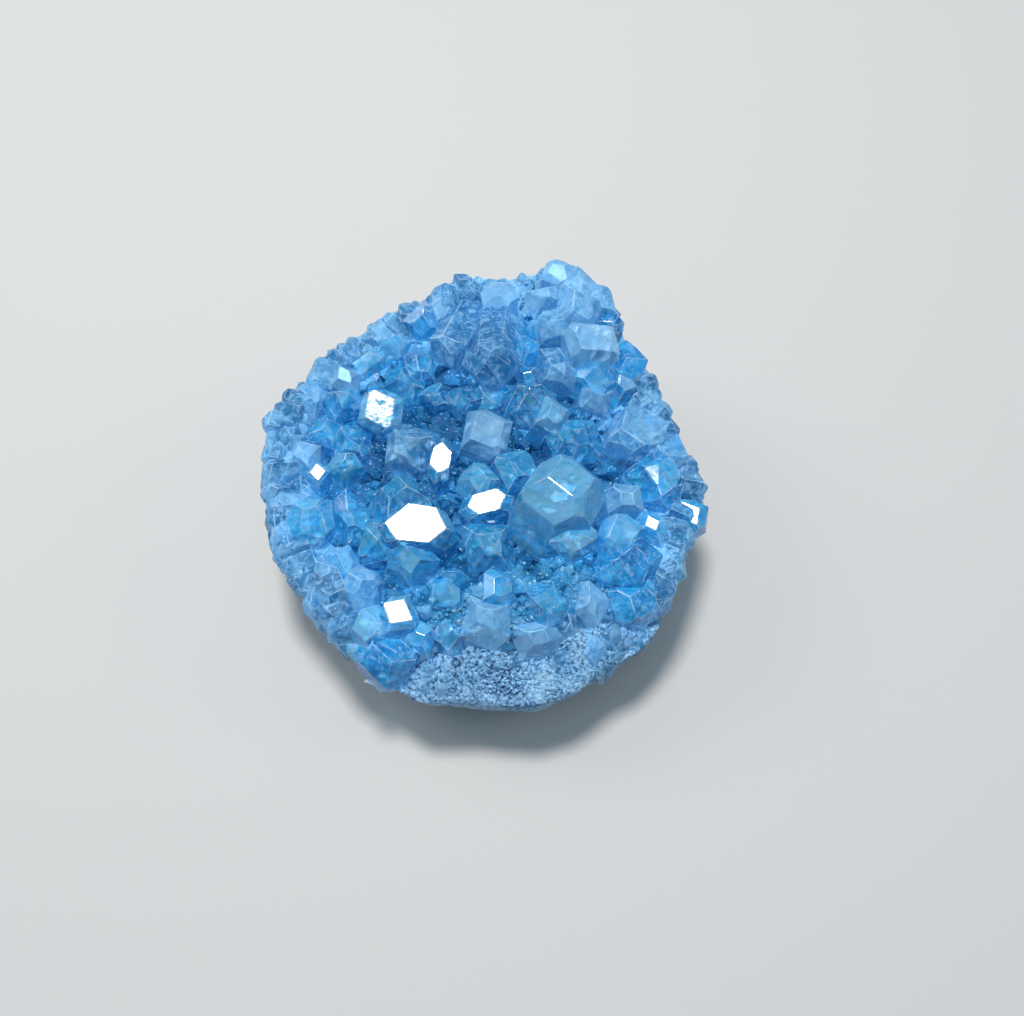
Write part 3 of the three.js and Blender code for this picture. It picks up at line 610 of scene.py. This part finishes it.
def spread_crystals(rule, bodies):
    """Crystals of one size spread evenly over a ring of the bed, each leaning to a focus above the bowl."""
    seed, count, inner, outer, wide, rise, focus = rule
    draw = seeded(seed)
    made = []
    for i in range(count):
        share = math.sqrt(mix(inner * inner, outer * outer, (i + 0.5) / count))
        turn = i * GOLDEN_TURN + 12 * (draw() - 0.5)
        far = rim_radius(turn) * bed_reach(turn) * share
        x, y = around(turn, far)
        z = bed_top(x, y) + mix(*rise, draw())
        width = mix(*wide, draw())
        lean = math.degrees(math.atan2(far, focus - z))
        if any(
            math.hypot(x - c[0][0], y - c[0][1]) < CLEAR_OF_NAMED * (width + c[1]) for c in CRYSTALS
        ):
            continue
        crystal = {
            "head": (x, y, z),
            "wide": width,
            "deep": width * mix(0.65, 0.95, draw()),
            "tilt": lean + LEAN_JITTER * draw(),
            "toward": turn + 180 + 60 * (draw() - 0.5),
            "twist": 180 * draw(),
            "cap": mix(0.25, 0.6, draw()),
            "slope": mix(36, 48, draw()),
        }
        if not hides_large(Vector(crystal["head"]), width, bodies):
            made.append(crystal)
    return [(crystal, faces_at(crystal, draw)) for crystal in made]


def large_bodies():
    """The axis of each large crystal, as its head, its direction, its length and how far its sides are."""
    made = []
    for row in CRYSTALS:
        crystal = dict(zip(CRYSTAL_NAMES, row))
        if crystal["wide"] < LARGE_FROM:
            continue
        head = Vector(crystal["head"])
        axis = leaning(crystal["tilt"], crystal["toward"])
        made.append((head, axis, root_length(head, axis), crystal["wide"]))
    return made


def hides_large(point, size, bodies):
    """True where something small would poke out of a large crystal's side."""
    for head, axis, length, wide in bodies:
        back = min(max((head - point).dot(axis), 0.0), length)
        if (head - axis * back - point).length < BODY_SHARE * wide + 0.2 * size:
            return True
    return False


def lump(name, point, axis, wide, tone, draw, bodies):
    """One frosted lump of the druse, as a list that is empty where the lump would be in the way."""
    if hides_large(point, wide, bodies):
        return []
    crystal = {"wide": wide, "deep": wide * mix(0.6, 0.95, draw()), "cap": mix(0.2, 0.6, draw())}
    crystal["slope"] = mix(30, 48, draw())
    turn = any_turn(axis, draw, LUMP_SPREAD)
    sides = chipped(crystal_faces(crystal, wide, draw), wide, draw, LUMP_CHIPS)
    points = [turn @ Vector(p) + point for p in corners_of(sides)]
    if not all(in_box(p, 0.1) for p in points):
        return []
    return [hull_object(name, points, LUMP_CHAMFER, tone, turn @ Vector((0, 0, 1)), draw)]


def rim_lumps(bodies):
    """Frosted lumps over the outer third of the bed."""
    seed, count, size, tones = RIM_LUMPS
    draw = seeded(seed)
    made = []
    for i in range(count):
        share = math.sqrt(mix(*RIM_RING, (i + draw()) / count))
        degrees = i * GOLDEN_TURN
        far = rim_radius(degrees) * bed_reach(degrees) * share
        x, y = around(degrees, far)
        wide = mix(*size, draw() ** 1.5)
        axis = leaning(mix(*RIM_LEAN, smooth(share, 0.86, 1.0)), degrees)
        point = Vector((x, y, bed_top(x, y) + wide * mix(0.0, 0.2, draw()) * smooth(share, 1.0, 0.86)))
        tone = mix(*tones, draw())
        made += lump(f"rim_{i}", point, axis, wide, tone, draw, bodies)
    return made


def spill_lumps(bodies):
    """Frosted lumps over the upper edge and the ends of the bare band."""
    draw = seeded(SPILL_SEED)
    made = []
    for first, last, count, size, lowest in SPILLS:
        for i in range(count):
            degrees = mix(first, last, (i + draw()) / count)
            share = mix(bed_reach(degrees) - 0.04, lowest, draw())
            far = rim_radius(degrees) * share
            wide = mix(*size, draw())
            height = rock_top(share, degrees) + wide * mix(-0.05, 0.15, draw())
            point = Vector((*around(degrees, far), height))
            tone = mix(*SPILL_TONES, draw())
            axis = leaning(SPILL_LEAN, degrees)
            made += lump(f"spill_{first}_{i}", point, axis, wide, tone, draw, bodies)
    return made


def flank_lumps(bodies):
    """Frosted lumps round the outer side of the bed, from the rock up to the rim."""
    seed, count, size, tones = FLANK_LUMPS
    draw = seeded(seed)
    made = []
    for i in range(count):
        degrees = i * GOLDEN_TURN
        reach = bed_reach(degrees)
        wide = mix(*size, draw() ** 1.5)
        edge = rim_radius(degrees) * reach + 0.5 * skin_lump(degrees, 24) + 0.35 - 0.06 * wide
        x, y = around(degrees, edge)
        low = rock_top(reach, degrees) + 0.3 * wide
        height = mix(low, bed_top(0.96 * x, 0.96 * y), draw())
        axis = leaning(mix(*FLANK_LEAN, draw()), degrees)
        tone = mix(*tones, draw())
        point = Vector((x, y, height))
        made += lump(f"flank_{i}", point, axis, wide, tone, draw, bodies)
    return made


def faces_at(crystal, draw):
    axis = leaning(crystal["tilt"], crystal["toward"])
    return crystal_faces(crystal, root_length(Vector(crystal["head"]), axis), draw)


def flaws_in(crystal, draw):
    """Thin healed cracks inside a crystal, each as its upper and its lower corners in the part's frame."""
    turn = placing(crystal)
    head = Vector(crystal["head"])
    wide = crystal["wide"]
    made = []
    for _ in range(int(FLAWS_EACH * wide)):
        radius = wide * mix(*FLAW_RADIUS, draw() ** 2)
        far = FLAW_REACH * wide * math.sqrt(draw())
        way = 2 * math.pi * draw()
        middle = Vector((far * math.cos(way), far * math.sin(way), -mix(*FLAW_DEPTH, draw()) * wide))
        lie = Quaternion(leaning(90, 360 * draw()), math.radians(90 * draw()))
        count = 5 + int(4 * draw())
        rim = []
        for i in range(count):
            at = 2 * math.pi * (i + 0.6 * draw()) / count
            reach = radius * mix(0.5, 1.0, draw())
            rim.append(Vector((reach * math.cos(at), 0.6 * reach * math.sin(at), 0)))
        half = Vector((0, 0, FLAW_THICK / 2))
        made.append([[turn @ (lie @ (p + off) + middle) + head for p in rim] for off in (half, -half)])
    return made


def flaws_piece(flaws):
    """All the healed cracks as one mesh of thin closed flakes."""
    points, faces = [], []
    for top, low in flaws:
        start = len(points)
        count = len(top)
        points += top + low
        faces.append([start + i for i in range(count)])
        faces.append([start + count + i for i in reversed(range(count))])
        for i in range(count):
            j = (i + 1) % count
            faces.append([start + j, start + i, start + count + i, start + count + j])
    mesh = bpy.data.meshes.new("healed_cracks")
    mesh.from_pydata([p * MM for p in points], [], faces)
    mesh.update()
    return shown_object("healed_cracks", mesh)


def listed_crystals():
    """The crystals of the list with their faces, each kind apart."""
    draw = seeded(LIST_SEED)
    apart = {CLEAR: [], MILKY: [], POLISHED: []}
    for row in CRYSTALS:
        crystal = dict(zip(CRYSTAL_NAMES, row))
        apart[crystal["clarity"]].append((crystal, faces_at(crystal, draw)))
    return apart


def joined(name, objects):
    """One closed solid from overlapping crystals, in metres."""
    first, others = objects[0], objects[1:]
    group = bpy.data.collections.new(name + "_parts")
    bpy.context.scene.collection.children.link(group)
    for other in others:
        group.objects.link(other)
    bpy.context.scene.collection.objects.link(first)
    union = first.modifiers.new("union", "BOOLEAN")
    union.operation = "UNION"
    union.solver = "MANIFOLD"
    union.operand_type = "COLLECTION"
    union.collection = group
    shown = first.evaluated_get(bpy.context.evaluated_depsgraph_get())
    mesh = bpy.data.meshes.new_from_object(shown)
    bpy.data.collections.remove(group)
    for part in objects:
        bpy.data.meshes.remove(part.data)
    mesh.name = name
    mesh.transform(Matrix.Scale(MM, 4))
    return shown_object(name, mesh)


def shown_object(name, mesh):
    made = bpy.data.objects.new(name, mesh)
    bpy.context.scene.collection.objects.link(made)
    return made


def turned_mesh(name, turns, profile_at, shape):
    """A closed skin of profiles that turn about Z. shape moves each point after it is placed."""
    rows = [profile_at(360 * i / turns) for i in range(turns)]
    ring = len(rows[0]) - 2
    points = [shape(Vector((0, 0, rows[0][0][1]))), shape(Vector((0, 0, rows[0][-1][1])))]
    for i, row in enumerate(rows):
        turn = 2 * math.pi * i / turns
        for r, z in row[1:-1]:
            points.append(shape(Vector((r * math.cos(turn), r * math.sin(turn), z))))
    faces = []
    for i in range(turns):
        here = 2 + i * ring
        there = 2 + (i + 1) % turns * ring
        faces.append((0, there, here))
        for j in range(ring - 1):
            faces.append((here + j, there + j, there + j + 1, here + j + 1))
        faces.append((here + ring - 1, there + ring - 1, 1))
    mesh = bpy.data.meshes.new(name)
    mesh.from_pydata([p * MM for p in points], [], faces)
    mesh.update()
    return mesh


def resampled(points, count):
    """The same profile with evenly spaced points."""
    line = np.array(points, float)
    steps = np.linalg.norm(np.diff(line, axis=0), axis=1)
    along = np.concatenate([[0.0], np.cumsum(steps)])
    wanted = np.linspace(0, along[-1], count)
    return np.column_stack([np.interp(wanted, along, line[:, k]) for k in (0, 1)])


def rock_profile(degrees):
    """The rock's section in a direction, from the middle of its foot round to the middle of its top."""
    rim = rim_radius(degrees)
    foot = FOOT_RADIUS + FOOT_WOBBLE * math.sin(math.radians(3 * degrees + 40))
    bulge = bulge_height(degrees)
    line = [(0, 0), (foot, 0)]
    for step in (8, 16, 25, 34, 43, 52, 61, 70, 80, 90):
        out = math.sin(math.radians(step))
        height = bulge * (1 - math.cos(math.radians(step)))
        lump = FLANK_LUMP * skin_lump(degrees, height) * out * (1.35 - out)
        line.append((mix(foot, rim, out) + lump - ROCK_BEHIND, height))
    for share in (0.92, 0.87, 0.82, 0.77, 0.72, 0.6, 0.45, 0.25, 0):
        roll = 1.2 * band_share(degrees) * skin_lump(2 * degrees, 30 * share)
        line.append((rim * share, rock_top(share, degrees) + roll * smooth(share, 0.7, 0.8)))
    return resampled(line, ROCK_RINGS)


def rock_shape(point):
    """Broken, grainy rock: nothing moves at the foot, where it rests."""
    off = smooth(point.z, 0.15, 2.5)
    out = Vector((point.x, point.y, 0.6 * (point.z - 10))).normalized()
    coarse = noise.fractal(point * 0.16, 1.0, 2.0, 3)
    grain = noise.fractal(point * 0.9 + Vector((7, 3, 1)), 0.8, 2.1, 3)
    return point + out * off * (0.55 * coarse + 0.22 * grain - 0.3)


def matrix_piece():
    return shown_object("matrix_rock", turned_mesh("matrix_rock", ROCK_TURNS, rock_profile, rock_shape))


def bed_profile(degrees):
    """The bed's section in a direction, from the middle of its underside round to the middle of its top."""
    reach = bed_reach(degrees)
    edge = rim_radius(degrees) * reach

    def over(share):
        return bed_top(*around(degrees, edge * share))

    low = rock_top(reach, degrees) - BED_SINK
    lump = 0.5 * skin_lump(degrees, 24)
    shares = (0.15, 0.33, 0.5, 0.62, 0.74, 0.83, 0.94)
    line = [(0, BOWL_FLOOR - BED_SINK)]
    line += [(edge * share, rock_top(share * reach, degrees) - BED_SINK) for share in shares]
    line += [(edge + lump - 0.5, low), (edge + lump - 0.1, mix(low, over(0.97), 0.5))]
    line += [(edge + lump - 0.9, over(0.97) - 0.6)]
    line += [(edge * share, over(share)) for share in reversed(shares)]
    line += [(0, bed_top(0, 0))]
    return resampled(line, BED_RINGS)


def bed_shape(point):
    """Swells the bed into rounded lumps, larger toward the rim."""
    coarse = noise.fractal(point * 0.22 + Vector((3, 9, 4)), 1.0, 2.0, 3)
    near = noise.voronoi(point / LUMP_SPAN)[0]
    small = noise.voronoi(point / LUMP_SPAN * 2.3)[0]
    rim = smooth(math.hypot(point.x, point.y), *PALE_RIM)
    swell = (0.9 * (near[1] - near[0]) + 0.35 * (small[1] - small[0]) - 0.4) * rim
    outward = Vector((point.x, point.y, 12)).normalized()
    return point + Vector((0, 0, 0.5 * coarse - 0.2)) + outward * swell


def bed_piece():
    return shown_object("celestite_bed", turned_mesh("celestite_bed", BED_TURNS, bed_profile, bed_shape))


def grain_templates(draw):
    """A few unit crystals, as (points, faces), that a crust repeats."""
    made = []
    for _ in range(GRAIN_KINDS):
        crystal = {"wide": 1.0, "deep": mix(0.6, 0.95, draw()), "cap": mix(0.2, 0.6, draw())}
        crystal["slope"] = mix(34, 50, draw())
        bm = bmesh.new()
        for point in corners_of(crystal_faces(crystal, 1.3, draw)):
            bm.verts.new(point)
        bmesh.ops.convex_hull(bm, input=bm.verts)
        bmesh.ops.dissolve_limit(bm, angle_limit=FLATTEN, verts=bm.verts, edges=bm.edges)
        bm.verts.index_update()
        points = np.array([v.co for v in bm.verts])
        made.append((points, [[v.index for v in f.verts] for f in bm.faces]))
        bm.free()
    return made


def grain_mesh(name, templates, places):
    """One mesh of many small crystals. Each place is (size, turn, point, tone, which template)."""
    points, faces, tones = [], [], []
    start = 0
    for size, turn, point, tone, which in places:
        if not in_box(point, size):
            continue
        corners, sides = templates[int(GRAIN_KINDS * which)]
        turned = corners @ np.array(turn.to_matrix()).T * size + np.array(point)
        points.append(turned)
        faces += [[start + index for index in side] for side in sides]
        tones += [tone] * len(sides)
        start += len(corners)
    mesh = bpy.data.meshes.new(name)
    mesh.from_pydata((np.vstack(points) * MM).tolist(), [], faces)
    mesh.attributes.new(TONE_AND_PAINTED_LIGHT, "FLOAT", "FACE").data.foreach_set("value", tones)
    mesh.update()
    mesh.set_sharp_from_angle(angle=SHARP_FROM)
    return shown_object(name, mesh)


def any_turn(axis, draw, spread):
    """A turn that leans a crystal about an axis, up to spread degrees off it."""
    off = Quaternion(leaning(90, 360 * draw()), math.radians(spread * draw()))
    twist = Quaternion((0, 0, 1), 2 * math.pi * draw())
    return Vector((0, 0, 1)).rotation_difference(axis) @ off @ twist


def in_box(point, size):
    """True where a grain stays inside the box of the part's solids."""
    low, high = [corner / MM for corner in cad_bounds]
    reach = 1.4 * size
    return all(low[i] + reach < point[i] < high[i] - reach for i in range(3))


def bed_grains(name, seed, count, inner, outer, size, lift):
    """Tiny crystals over the bed, paler toward the rim and deeper blue in the bowl, where the deep blue is
    partly painted shade between the crystals.
    """
    draw = seeded(seed)
    templates = grain_templates(draw)
    places = []
    for i in range(count):
        share = math.sqrt(mix(inner * inner, outer * outer, (i + draw()) / count))
        degrees = 360 * draw()
        far = rim_radius(degrees) * bed_reach(degrees) * share
        x, y = around(degrees, far)
        wide = mix(*size, draw() ** 2)
        turn = any_turn(leaning(BED_GRAIN_LEAN * share, degrees), draw, BED_GRAIN_SPREAD)
        point = (x, y, bed_top(x, y) + wide * (lift + 0.5 * draw()))
        # Darker toward the bowl, partly painted shade between the crystals
        pale = smooth(share, 0.45, 0.95) * 0.7 + 0.25 * draw()
        places.append((wide, turn, point, pale, draw()))
    return grain_mesh(name, templates, places)


def flank_grains(name, seed, count, size):
    """Tiny crystals down the outer side of the crust."""
    draw = seeded(seed)
    templates = grain_templates(draw)
    places = []
    for _ in range(count):
        degrees = 360 * draw()
        reach = bed_reach(degrees)
        low = rock_top(reach, degrees) - 0.4
        wide = mix(*size, draw() ** 2)
        edge = rim_radius(degrees) * reach + 0.5 * skin_lump(degrees, 24) - 1.4 - 0.3 * wide
        x, y = around(degrees, edge)
        high = bed_top(0.96 * x, 0.96 * y)
        turn = any_turn(leaning(FLANK_GRAIN_LEAN, degrees), draw, FLANK_GRAIN_SPREAD)
        point = (x, y, mix(low, high, draw()))
        pale = mix(0.4, 0.9, draw())
        places.append((wide, turn, point, pale, draw()))
    return grain_mesh(name, templates, places)


def band_grains():
    """Grains of rock and pale crystal scattered over the bare band at the front."""
    seed, count, size = BAND_GRAINS
    draw = seeded(seed)
    templates = grain_templates(draw)
    places = []
    while len(places) < count:
        degrees = BAND_MIDDLE + 2 * (BAND_HALF + BAND_FADE) * (draw() - 0.5)
        share = mix(BAND_START - 0.02, 0.94, draw())
        if band_share(degrees) < 0.15:
            continue
        far = rim_radius(degrees) * share
        wide = mix(*size, draw() ** 2)
        point = (*around(degrees, far), rock_top(share, degrees) - 0.35 * wide)
        turn = any_turn(leaning(BAND_GRAIN_LEAN, degrees), draw, BAND_GRAIN_SPREAD)
        which = draw()
        if in_box(point, wide):
            places.append((wide, turn, point, draw(), which))
    return grain_mesh("band_grains", templates, places)


class Look:
    """The nodes of a material or of the world, with short ways to add to them."""

    def __init__(self, owner):
        owner.use_nodes = True
        self.owner = owner
        self.nodes = owner.node_tree.nodes

    def put(self, node, socket, value):
        """Links an input to another node's output, or sets it to a constant."""
        if isinstance(value, bpy.types.NodeSocket):
            self.owner.node_tree.links.new(value, node.inputs[socket])
        else:
            node.inputs[socket].default_value = value

    def add(self, kind, inputs, way=None):
        made = self.nodes.new("ShaderNode" + kind)
        if way is not None:
            made.operation = way
        for socket, value in inputs.items():
            self.put(made, socket, value)
        return made

    def ramp(self, value, stops):
        made = self.add("ValToRGB", {"Fac": value})
        line = made.color_ramp
        while len(line.elements) < len(stops):
            line.elements.new(0.5)
        for element, (at, colour) in zip(line.elements, stops):
            element.position = at
            element.color = (*colour, 1)
        return made.outputs["Color"]


class Surface(Look):
    """A new material, with its shader and its coordinates in the part's frame, in millimetres."""

    def __init__(self, name):
        super().__init__(bpy.data.materials.new(name))
        self.shader = self.nodes["Principled BSDF"]
        place = self.add("TexCoord", {}).outputs["Object"]
        scaled = self.add("Mapping", {"Vector": place, "Scale": (1 / MM, 1 / MM, 1 / MM)})
        self.place = scaled.outputs["Vector"]

    def shade(self, inputs):
        for socket, value in inputs.items():
            self.put(self.shader, socket, value)

    def noise(self, scale, detail, distortion=0.0, at=None):
        place = self.place if at is None else at
        inputs = {"Vector": place, "Scale": scale, "Detail": detail, "Distortion": distortion}
        return self.add("TexNoise", inputs).outputs["Fac"]

    def span(self, value, low, high, to_low, to_high):
        """The value carried from one range to another, and kept inside it."""
        inputs = {"Value": value, "From Min": low, "From Max": high, "To Min": to_low, "To Max": to_high}
        return self.add("MapRange", inputs).outputs["Result"]

    def bump(self, height, distance, strength, under=None):
        inputs = {"Height": height, "Distance": distance * MM, "Strength": strength}
        if under is not None:
            inputs["Normal"] = under
        return self.add("Bump", inputs).outputs["Normal"]

    def kept(self, label, output="Fac"):
        """A look that the mesh keeps face by face."""
        made = self.add("Attribute", {})
        made.attribute_name = label
        return made.outputs[output]

    def mixed(self, share, first, second, way="MIX"):
        """A colour with a share of a second, constant colour in it."""
        made = self.add("Mix", {})
        made.data_type = "RGBA"
        made.blend_type = way
        for socket, value in (("Factor", share), ("A", first), ("B", (*second, 1))):
            self.put(made, socket, value)
        return made.outputs["Result"]

    def worked(self, way, first, second):
        """Two values put together, such as by ADD or MAXIMUM."""
        return self.add("Math", {0: first, 1: second}, way).outputs[0]

    def vectors(self, way, inputs, output="Vector"):
        return self.add("VectorMath", inputs, way).outputs[output]

    def along_axis(self):
        """The place squeezed along the crystal's own axis, so that a texture there makes long streaks."""
        axis = self.kept(AXIS, "Vector")
        far = self.vectors("DOT_PRODUCT", {0: self.place, 1: axis}, "Value")
        squeezed = self.vectors("SCALE", {0: axis, "Scale": self.worked("MULTIPLY", far, STREAK)})
        return self.vectors("SUBTRACT", {0: self.place, 1: squeezed})


def crystal_surface(name, tones, veil, rough, transmission, sparkle_share):
    """Blue celestite. Faces differ in tone and in etching, worn edges are pale, partly as painted edge
    highlights, pale specks are partly painted sparkle, and wisps run through.
    """
    look = Surface(name)
    drift = look.span(look.noise(0.3, 6, 1.4), 0.3, 0.7, -MOTTLE, MOTTLE)
    # The kept tone holds the painted light, shade and reflection of the faces
    tone = look.worked("ADD", look.kept(TONE_AND_PAINTED_LIGHT), drift)
    streaks = look.noise(1.1, 4, 0.4, look.along_axis())
    veiled = look.noise(0.5, 7, 2.0)
    streaked = look.span(streaks, 0.58, 0.74, 0, 0.7)
    pale = look.worked("MAXIMUM", look.span(veiled, *veil), streaked)
    colour = look.mixed(pale, look.ramp(tone, tones), PALE)
    # Pale specks, partly white specks in the celestite and partly painted sparkle
    flecks_and_sparkle = look.span(look.noise(1.8, 3), 0.64, 0.7, 0.0, sparkle_share)
    colour = look.mixed(flecks_and_sparkle, colour, WEAR_AND_GLINT_PALE)
    # Worn edges turn pale, partly as painted edge highlights
    chips = look.span(look.noise(0.5, 5), 0.4, 0.56, 0.0, 1.0)
    wear_and_shine = look.worked("MULTIPLY", look.kept(EDGE_WEAR_AND_SHINE), chips)
    etched = look.span(look.kept(ETCH), 0, 1, *rough)
    worn = look.worked("MAXIMUM", etched, look.span(wear_and_shine, 0, 1, 0, 0.3))
    pitted = look.span(veiled, 0.5, 0.7, 0, 0.3)
    rolling = look.bump(look.noise(0.4, 3, 0.6), 0.3, 0.1)
    look.shade({
        "Base Color": look.mixed(wear_and_shine, colour, WEAR_AND_GLINT_PALE),
        "Roughness": look.worked("MAXIMUM", worn, pitted),
        "Normal": look.bump(streaks, 0.1, 0.25, rolling),
        "Transmission Weight": transmission,
        "IOR": CELESTITE_IOR,
    })
    return look


def clear_material():
    """Clear crystal, whose body takes red out of the light."""
    look = crystal_surface("celestite_clear", CLEAR_TONES, CLEAR_VEIL, CLEAR_ROUGH, 0.6, 0.35)
    volume = look.add("VolumeAbsorption", {"Color": ABSORBED, "Density": ABSORPTION})
    look.put(look.nodes["Material Output"], "Volume", volume.outputs["Volume"])
    return look.owner


def milky_material(name, tones, rough):
    """Frosted celestite that scatters the light inside."""
    look = crystal_surface(name, tones, MILKY_VEIL, rough, 0.55, 0.8)
    look.shade({
        "Subsurface Weight": 0.3,
        "Subsurface Radius": SCATTER_RADIUS,
        "Subsurface Scale": MILKY_SCATTER * MM,
        "Specular Tint": FROST_SHINE,
    })
    return look.owner


def crack_material():
    """Silvery films of healed cracks."""
    look = Surface("healed_crack")
    film = look.ramp(look.noise(1.5, 3), CRACK_STOPS)
    look.shade({"Base Color": film, "Roughness": 0.2, "Transmission Weight": 0.4})
    return look.owner


def crust_material(name, by_tone):
    """Massive or sugary celestite: cloudy, from deep blue in the bowl, partly painted shade between the
    crystals, to pale at the rim, with bright specks.
    """
    look = Surface(name)
    cloud = look.span(look.noise(0.22, 7, 0.8), 0.32, 0.68, -CLOUDING, CLOUDING)
    if by_tone:
        base = look.kept(TONE_AND_PAINTED_LIGHT)
    else:
        # Deeper blue toward the middle, partly painted shade between the crystals
        flat = look.vectors("MULTIPLY", {0: look.place, 1: (1, 1, 0)})
        base = look.span(look.vectors("LENGTH", {0: flat}, "Value"), *PALE_RIM, 0.1, 0.9)
    colour = look.ramp(look.worked("ADD", base, cloud), SUGAR_AND_SHADE_STOPS)
    # Pale specks, partly white grains of the sugar and partly painted sparkle
    flecks_and_sparkle = look.span(look.noise(1.7, 3), 0.62, 0.70, 0.0, 0.9)
    look.shade({
        "Base Color": look.mixed(flecks_and_sparkle, colour, PALE),
        "Roughness": look.span(look.noise(0.9, 4), 0.35, 0.65, 0.12, 0.5),
        "Normal": look.bump(look.noise(1.3, 7, 0.8), 0.6, 0.6),
        "IOR": CRUST_IOR,
        "Specular IOR Level": 0.2,
        "Specular Tint": FROST_SHINE,
        "Subsurface Weight": 0.85,
        "Subsurface Radius": SCATTER_RADIUS,
        "Subsurface Scale": CRUST_SCATTER * MM,
    })
    return look.owner


def rock_material():
    """Pale grainy rock with dark specks and a few tan stains."""
    look = Surface("matrix_stone")
    patches = look.span(look.noise(0.16, 3), 0.38, 0.62, -0.07, 0.05)
    pale = look.ramp(look.worked("ADD", look.noise(1.9, 8, 0.3), patches), ROCK_STOPS)
    height = look.add("SeparateXYZ", {"Vector": look.place}).outputs["Z"]
    pale = look.mixed(look.span(height, 4, 15, 0.6, 0.0), pale, FOOT_GREY)
    stain = look.span(look.noise(0.12, 5, 1.0), 0.60, 0.72, 0.0, 0.55)
    look.shade({
        "Base Color": look.mixed(stain, pale, TAN_STAIN, "MULTIPLY"),
        "Roughness": look.span(look.noise(2.2, 4), 0.3, 0.7, 0.55, 0.95),
        "Normal": look.bump(look.noise(1.6, 8), 0.7, 0.8),
        "IOR": ROCK_IOR,
    })
    return look.owner


def floor_material():
    look = Surface("pale_floor")
    look.shade({"Base Color": FLOOR_COLOUR, "Roughness": 0.7})
    return look.owner


def lay_floor():
    size = FLOOR_SIZE / 2
    mesh = bpy.data.meshes.new("floor")
    corners = [(-size, -size, 0), (size, -size, 0), (size, size, 0), (-size, size, 0)]
    mesh.from_pydata(corners, [], [(0, 1, 2, 3)])
    floor = shown_object("floor", mesh)
    floor.data.materials.append(floor_material())


def area_light(name, direction, distance, size, power):
    """A round soft light that faces the cluster."""
    light = bpy.data.lights.new(name, "AREA")
    light.shape = "DISK"
    light.size = size
    light.energy = power
    lamp = bpy.data.objects.new(name, light)
    away = Vector(direction).normalized()
    lamp.location = Vector((0, 0, 0.02)) + away * distance
    lamp.rotation_euler = away.to_track_quat("Z", "Y").to_euler()
    bpy.context.scene.collection.objects.link(lamp)


def set_lights():
    """The lamps, and a sky that is paler above than at the sides."""
    for lamp in LIGHTS:
        area_light(*lamp)
    look = Look(bpy.data.worlds.new("studio"))
    bpy.context.scene.world = look.owner
    place = look.add("TexCoord", {}).outputs["Generated"]
    height = look.add("SeparateXYZ", {"Vector": place}).outputs["Z"]
    background = look.nodes["Background"]
    look.put(background, "Color", look.ramp(height, [(0.0, WORLD_SIDE), (0.9, WORLD_TOP)]))
    look.put(background, "Strength", WORLD_STRENGTH)
    bpy.context.scene.view_settings.view_transform = "Standard"


def set_camera():
    data = bpy.data.cameras.new("camera")
    data.lens = CAMERA_LENS
    data.clip_start = 0.01
    camera = bpy.data.objects.new("camera", data)
    camera.location = Vector(CAMERA_PLACE) * MM
    camera.rotation_euler = (math.radians(90 - CAMERA_DIP), 0, 0)
    bpy.context.scene.collection.objects.link(camera)
    bpy.context.scene.camera = camera


def set_bounces():
    cycles = bpy.context.scene.cycles
    cycles.max_bounces = 14
    cycles.transmission_bounces = 12
    cycles.glossy_bounces = 6
    cycles.diffuse_bounces = 5


def finish_piece(piece, surface, node, smooth_shading=False, shades=True):
    """Gives a piece its one material and shading, sets whether it casts shadows, hangs it under the root body
    and hides the node whose place it takes.
    """
    piece.visible_shadow = shades
    piece.data.materials.clear()
    piece.data.materials.append(surface)
    for face in piece.data.polygons:
        face.use_smooth = smooth_shading
    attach(piece, "root")
    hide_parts(node)


def build():
    """Makes every piece and puts it in place of its node."""
    flaw_draw = seeded(FLAW_SEED)
    apart = listed_crystals()
    bodies = large_bodies()
    flaws = []
    for crystal, _ in apart[CLEAR] + apart[MILKY] + apart[POLISHED]:
        flaws += flaws_in(crystal, flaw_draw)
    clear = all_grown(CLEAR, apart[CLEAR]) + all_grown(POLISHED, apart[POLISHED])
    clear += all_grown("fill", spread_crystals(FILL, bodies))
    milky = all_grown(MILKY, apart[MILKY]) + all_grown("fringe", spread_crystals(FRINGE, bodies))
    lumps = rim_lumps(bodies) + flank_lumps(bodies) + spill_lumps(bodies)
    see_through = [
        (joined("crystals_clear", clear), clear_material()),
        (joined("crystals_milky", milky), milky_material("celestite_milky", MILKY_TONES, MILKY_ROUGH)),
        (joined("druse", lumps), milky_material("celestite_druse", DRUSE_TONES, DRUSE_ROUGH)),
    ]
    for piece, surface in see_through:
        finish_piece(piece, surface, "crystals", shades=False)
    finish_piece(flaws_piece(flaws), crack_material(), "crystals")
    massive = crust_material("celestite_massive", False)
    finish_piece(bed_piece(), massive, "crystals", smooth_shading=True)
    sugary = crust_material("celestite_sugary", True)
    crusts = [bed_grains(*crust) for crust in BED_CRUSTS] + [flank_grains(*FLANK_CRUST)]
    for crust in crusts:
        finish_piece(crust, sugary, "crystals", smooth_shading=True)
    stone = rock_material()
    finish_piece(matrix_piece(), stone, "matrix", smooth_shading=True)
    finish_piece(band_grains(), stone, "matrix")


set_camera()
set_bounces()
set_lights()
lay_floor()
build()
